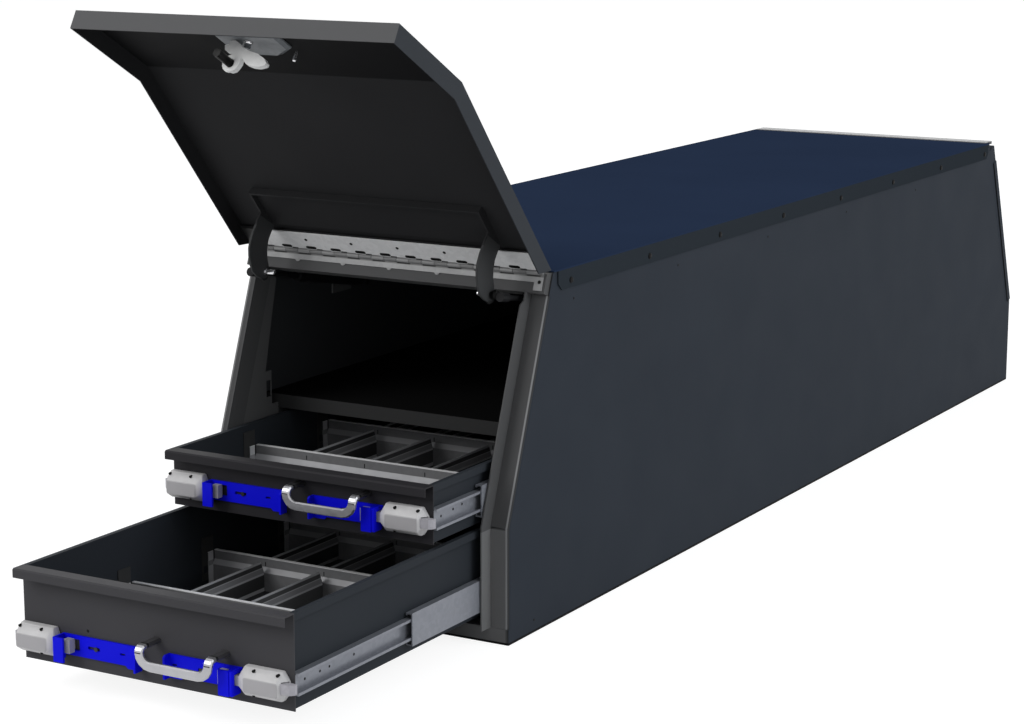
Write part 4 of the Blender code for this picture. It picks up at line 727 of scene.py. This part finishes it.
# The tail's way through the hook
TAIL_WAY_NEAR, TAIL_WAY_FAR = 0.12, 0.14
TAIL_WAY_BACK, TAIL_WAY_FRONT = 0.0042, 0.0180
TAIL_WAY_HALF = 0.0075


def hook_block(label):
    """The right lever's hook is deeper towards the case than its sheet."""
    low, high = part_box(f"{label}_lever_right")
    face, bottom = FACES[label], BOTTOMS[label]
    centre = bottom + LATCH_RISE
    shape = block((HOOK_NEAR, low.y, bottom + HOOK_RISE), (HOOK_FAR, face - HOOK_BACK, high.z))
    bmesh.ops.bevel(shape, geom=list(shape.edges), offset=HOOK_BEVEL, segments=3, affect="EDGES")
    way = block((TAIL_WAY_NEAR, face - TAIL_WAY_FRONT, centre - TAIL_WAY_HALF),
                (TAIL_WAY_FAR, face - TAIL_WAY_BACK, centre + TAIL_WAY_HALF))
    piece(f"{label}_hook_block_right", cut(shape, way), LEVER_BLUE, f"{label}_latch_right")


# Rivet and stop pin of the lid's latch, rear door's flanges and small holes

LATCH_RIVET = LOWER_POINT + Vector((-0.0055, 0, 0)) + LOWER_OUT * 0.0063 - LOWER_BACK * 0.0133
LATCH_RIVET_PROFILE = [(0, 0.0058), (0.0010, 0.0058), (0.0020, 0.0036)]
STOP_PIN = Vector((0.0417, -1.1962, 0.8100))
STOP_PIN_PROFILE = [(0, 0.0024), (0.012, 0.0024), (0.0128, 0.0018)]
REAR_FLANGE_NEAR, REAR_FLANGE_FAR = SIDE_OUT + 0.0003, SIDE_OUT + 0.0016
REAR_FLANGE_OUTLINE = [(1.0155, 0.1680), (0.8998, 0.4620), (0.8858, 0.4565), (1.0010, 0.1640)]
FACE_HOLE_X, FACE_HOLE_Z = -0.1075, 0.0887
FACE_HOLE_PROFILE = [(0, 0.0021), (0.0002, 0.0019)]
SLIDE_WEB = 0.2079
SLIDE_HOLE_PROFILE = [(0, 0.0020), (0.0004, 0.0018)]
SLIDE_HOLE_PLACES = {
    "lower": ((-1.4400, 0.0707), (-1.4071, 0.0710), (-1.3865, 0.0712), (-1.3316, 0.0712)),
    "upper": ((-1.1212, 0.2020), (-1.0907, 0.2045), (-1.0676, 0.2061)),
}


def latch_studs():
    """The lid latch's bright rivet head and its stop pin."""
    studs = bmesh.new()
    turned(studs, LATCH_RIVET, LOWER_OUT, LATCH_RIVET_PROFILE)
    turned(studs, STOP_PIN, LOWER_OUT, STOP_PIN_PROFILE, 14)
    piece("lid_latch_rivet_and_pin", studs, BRIGHT, "lid")


def rear_flanges():
    """The rear door's side flanges, which lap over the ends of the side panels."""
    flanges = bmesh.new()
    for side, _ in SIDES:
        plate(flanges, REAR_FLANGE_OUTLINE, side, REAR_FLANGE_NEAR, REAR_FLANGE_FAR)
    piece("rear_door_side_flanges", flanges, REAR_FLANGE, "rear_door")


def small_holes():
    """A hole in the lower drawer's face, and those of the inner slide members."""
    hole = bmesh.new()
    turned(hole, (FACE_HOLE_X, FACES["lower"], FACE_HOLE_Z), (0, -1, 0), FACE_HOLE_PROFILE, 12)
    piece("lower_face_hole", hole, DARK, "lower_drawer")
    for label in LABELS:
        holes = bmesh.new()
        for side, _ in SIDES:
            for y, z in SLIDE_HOLE_PLACES[label]:
                turned(holes, (side * SLIDE_WEB, y, z), (side, 0, 0), SLIDE_HOLE_PROFILE, 12)
        piece(label + "_slide_holes", holes, DARK, label + "_drawer")


# Floor, light and camera

FLOOR_HALF = 40.0
FLOOR_DROP = 0.0006
SOFT_BOX_SIZE = 3.0
# Name, place, aim, power in watts and colour of each soft box
SOFT_BOXES = (
    ("key", (-2.6, -4.6, 3.2), (0, -1.0, 0.3), 130, (1, 1, 1)),
    ("side", (4.5, -0.6, 2.6), (0.2, -0.2, 0.3), 90, (0.92, 0.96, 1.0)),
    ("back", (-1.5, 4.5, 3.5), (0, 0, 0.3), 60, (1, 1, 1)),
)
LENS_MM, SENSOR_MM = 88.342, 36.0
VIEW_END = 200.0
CAMERA_PLACE = (1.8951, -3.8515, 1.0654)
CAMERA_PITCH, CAMERA_YAW = -11.556, 30.038


def seen_by_eye(tree):
    """1 for camera, glossy and transmission rays."""
    path = tree.nodes.new("ShaderNodeLightPath")
    total = path.outputs["Is Camera Ray"]
    for name in ("Is Glossy Ray", "Is Transmission Ray"):
        total = maths(tree, "MAXIMUM", total, path.outputs[name])
    return total


def picked(tree, other, seen, out):
    """Shows one shader to the eye and lights the scene with the other."""
    pick = tree.nodes.new("ShaderNodeMixShader")
    tree.links.new(seen_by_eye(tree), pick.inputs[0])
    tree.links.new(other.outputs[0], pick.inputs[1])
    tree.links.new(seen.outputs[0], pick.inputs[2])
    tree.links.new(pick.outputs[0], out.inputs["Surface"])


def make_floor():
    mesh = bpy.data.meshes.new("studio_floor")
    corners = [(-1, -1), (1, -1), (1, 1), (-1, 1)]
    mesh.from_pydata([(FLOOR_HALF * x, FLOOR_HALF * y, 0) for x, y in corners], [], [(0, 1, 2, 3)])
    floor = bpy.data.objects.new("studio_floor", mesh)
    bpy.context.scene.collection.objects.link(floor)
    floor.location.z = -FLOOR_DROP
    made = bpy.data.materials.new("studio_floor")
    made.use_nodes = True
    tree = made.node_tree
    tree.nodes.clear()
    bounce = add(tree, "ShaderNodeBsdfDiffuse", Color=(*grey(0.80), 1))
    shadowed = add(tree, "ShaderNodeBsdfDiffuse", Color=(*grey(0.30), 1))
    glow = add(tree, "ShaderNodeEmission", Strength=0.88)
    seen = tree.nodes.new("ShaderNodeAddShader")
    tree.links.new(shadowed.outputs[0], seen.inputs[0])
    tree.links.new(glow.outputs[0], seen.inputs[1])
    picked(tree, bounce, seen, tree.nodes.new("ShaderNodeOutputMaterial"))
    mesh.materials.append(made)


def make_world():
    world = bpy.data.worlds.new("studio")
    world.use_nodes = True
    tree = world.node_tree
    tree.nodes.clear()
    soft = add(tree, "ShaderNodeBackground", Color=(0.95, 0.97, 1.0, 1), Strength=0.45)
    white = add(tree, "ShaderNodeBackground", Color=(1, 1, 1, 1), Strength=1.0)
    picked(tree, soft, white, tree.nodes.new("ShaderNodeOutputWorld"))
    bpy.context.scene.world = world


def soft_box(name, spot, aim, power, colour):
    data = bpy.data.lights.new(name, "AREA")
    data.shape = "SQUARE"
    data.size = SOFT_BOX_SIZE
    data.energy = power
    data.color = colour
    light = bpy.data.objects.new(name, data)
    light.location = spot
    light.rotation_euler = (Vector(aim) - Vector(spot)).to_track_quat("-Z", "Y").to_euler()
    bpy.context.scene.collection.objects.link(light)


def make_camera():
    """The photograph's camera."""
    data = bpy.data.cameras.new("photo_camera")
    data.lens = LENS_MM
    data.sensor_width = SENSOR_MM
    data.clip_end = VIEW_END
    camera = bpy.data.objects.new("photo_camera", data)
    camera.location = CAMERA_PLACE
    camera.rotation_euler = (radians(90 + CAMERA_PITCH), 0, radians(CAMERA_YAW))
    bpy.context.scene.collection.objects.link(camera)
    bpy.context.scene.camera = camera


paint_nodes()
cabinet_screws()
hinge_marks()
lever_arms()
for label in LABELS:
    for side, word in SIDES:
        latch_cover(label, side, word)
for label in LABELS:
    hook_block(label)
latch_studs()
rear_flanges()
small_holes()

make_floor()
make_world()
for facts in SOFT_BOXES:
    soft_box(*facts)
make_camera()
bpy.context.scene.view_settings.view_transform = "Standard"
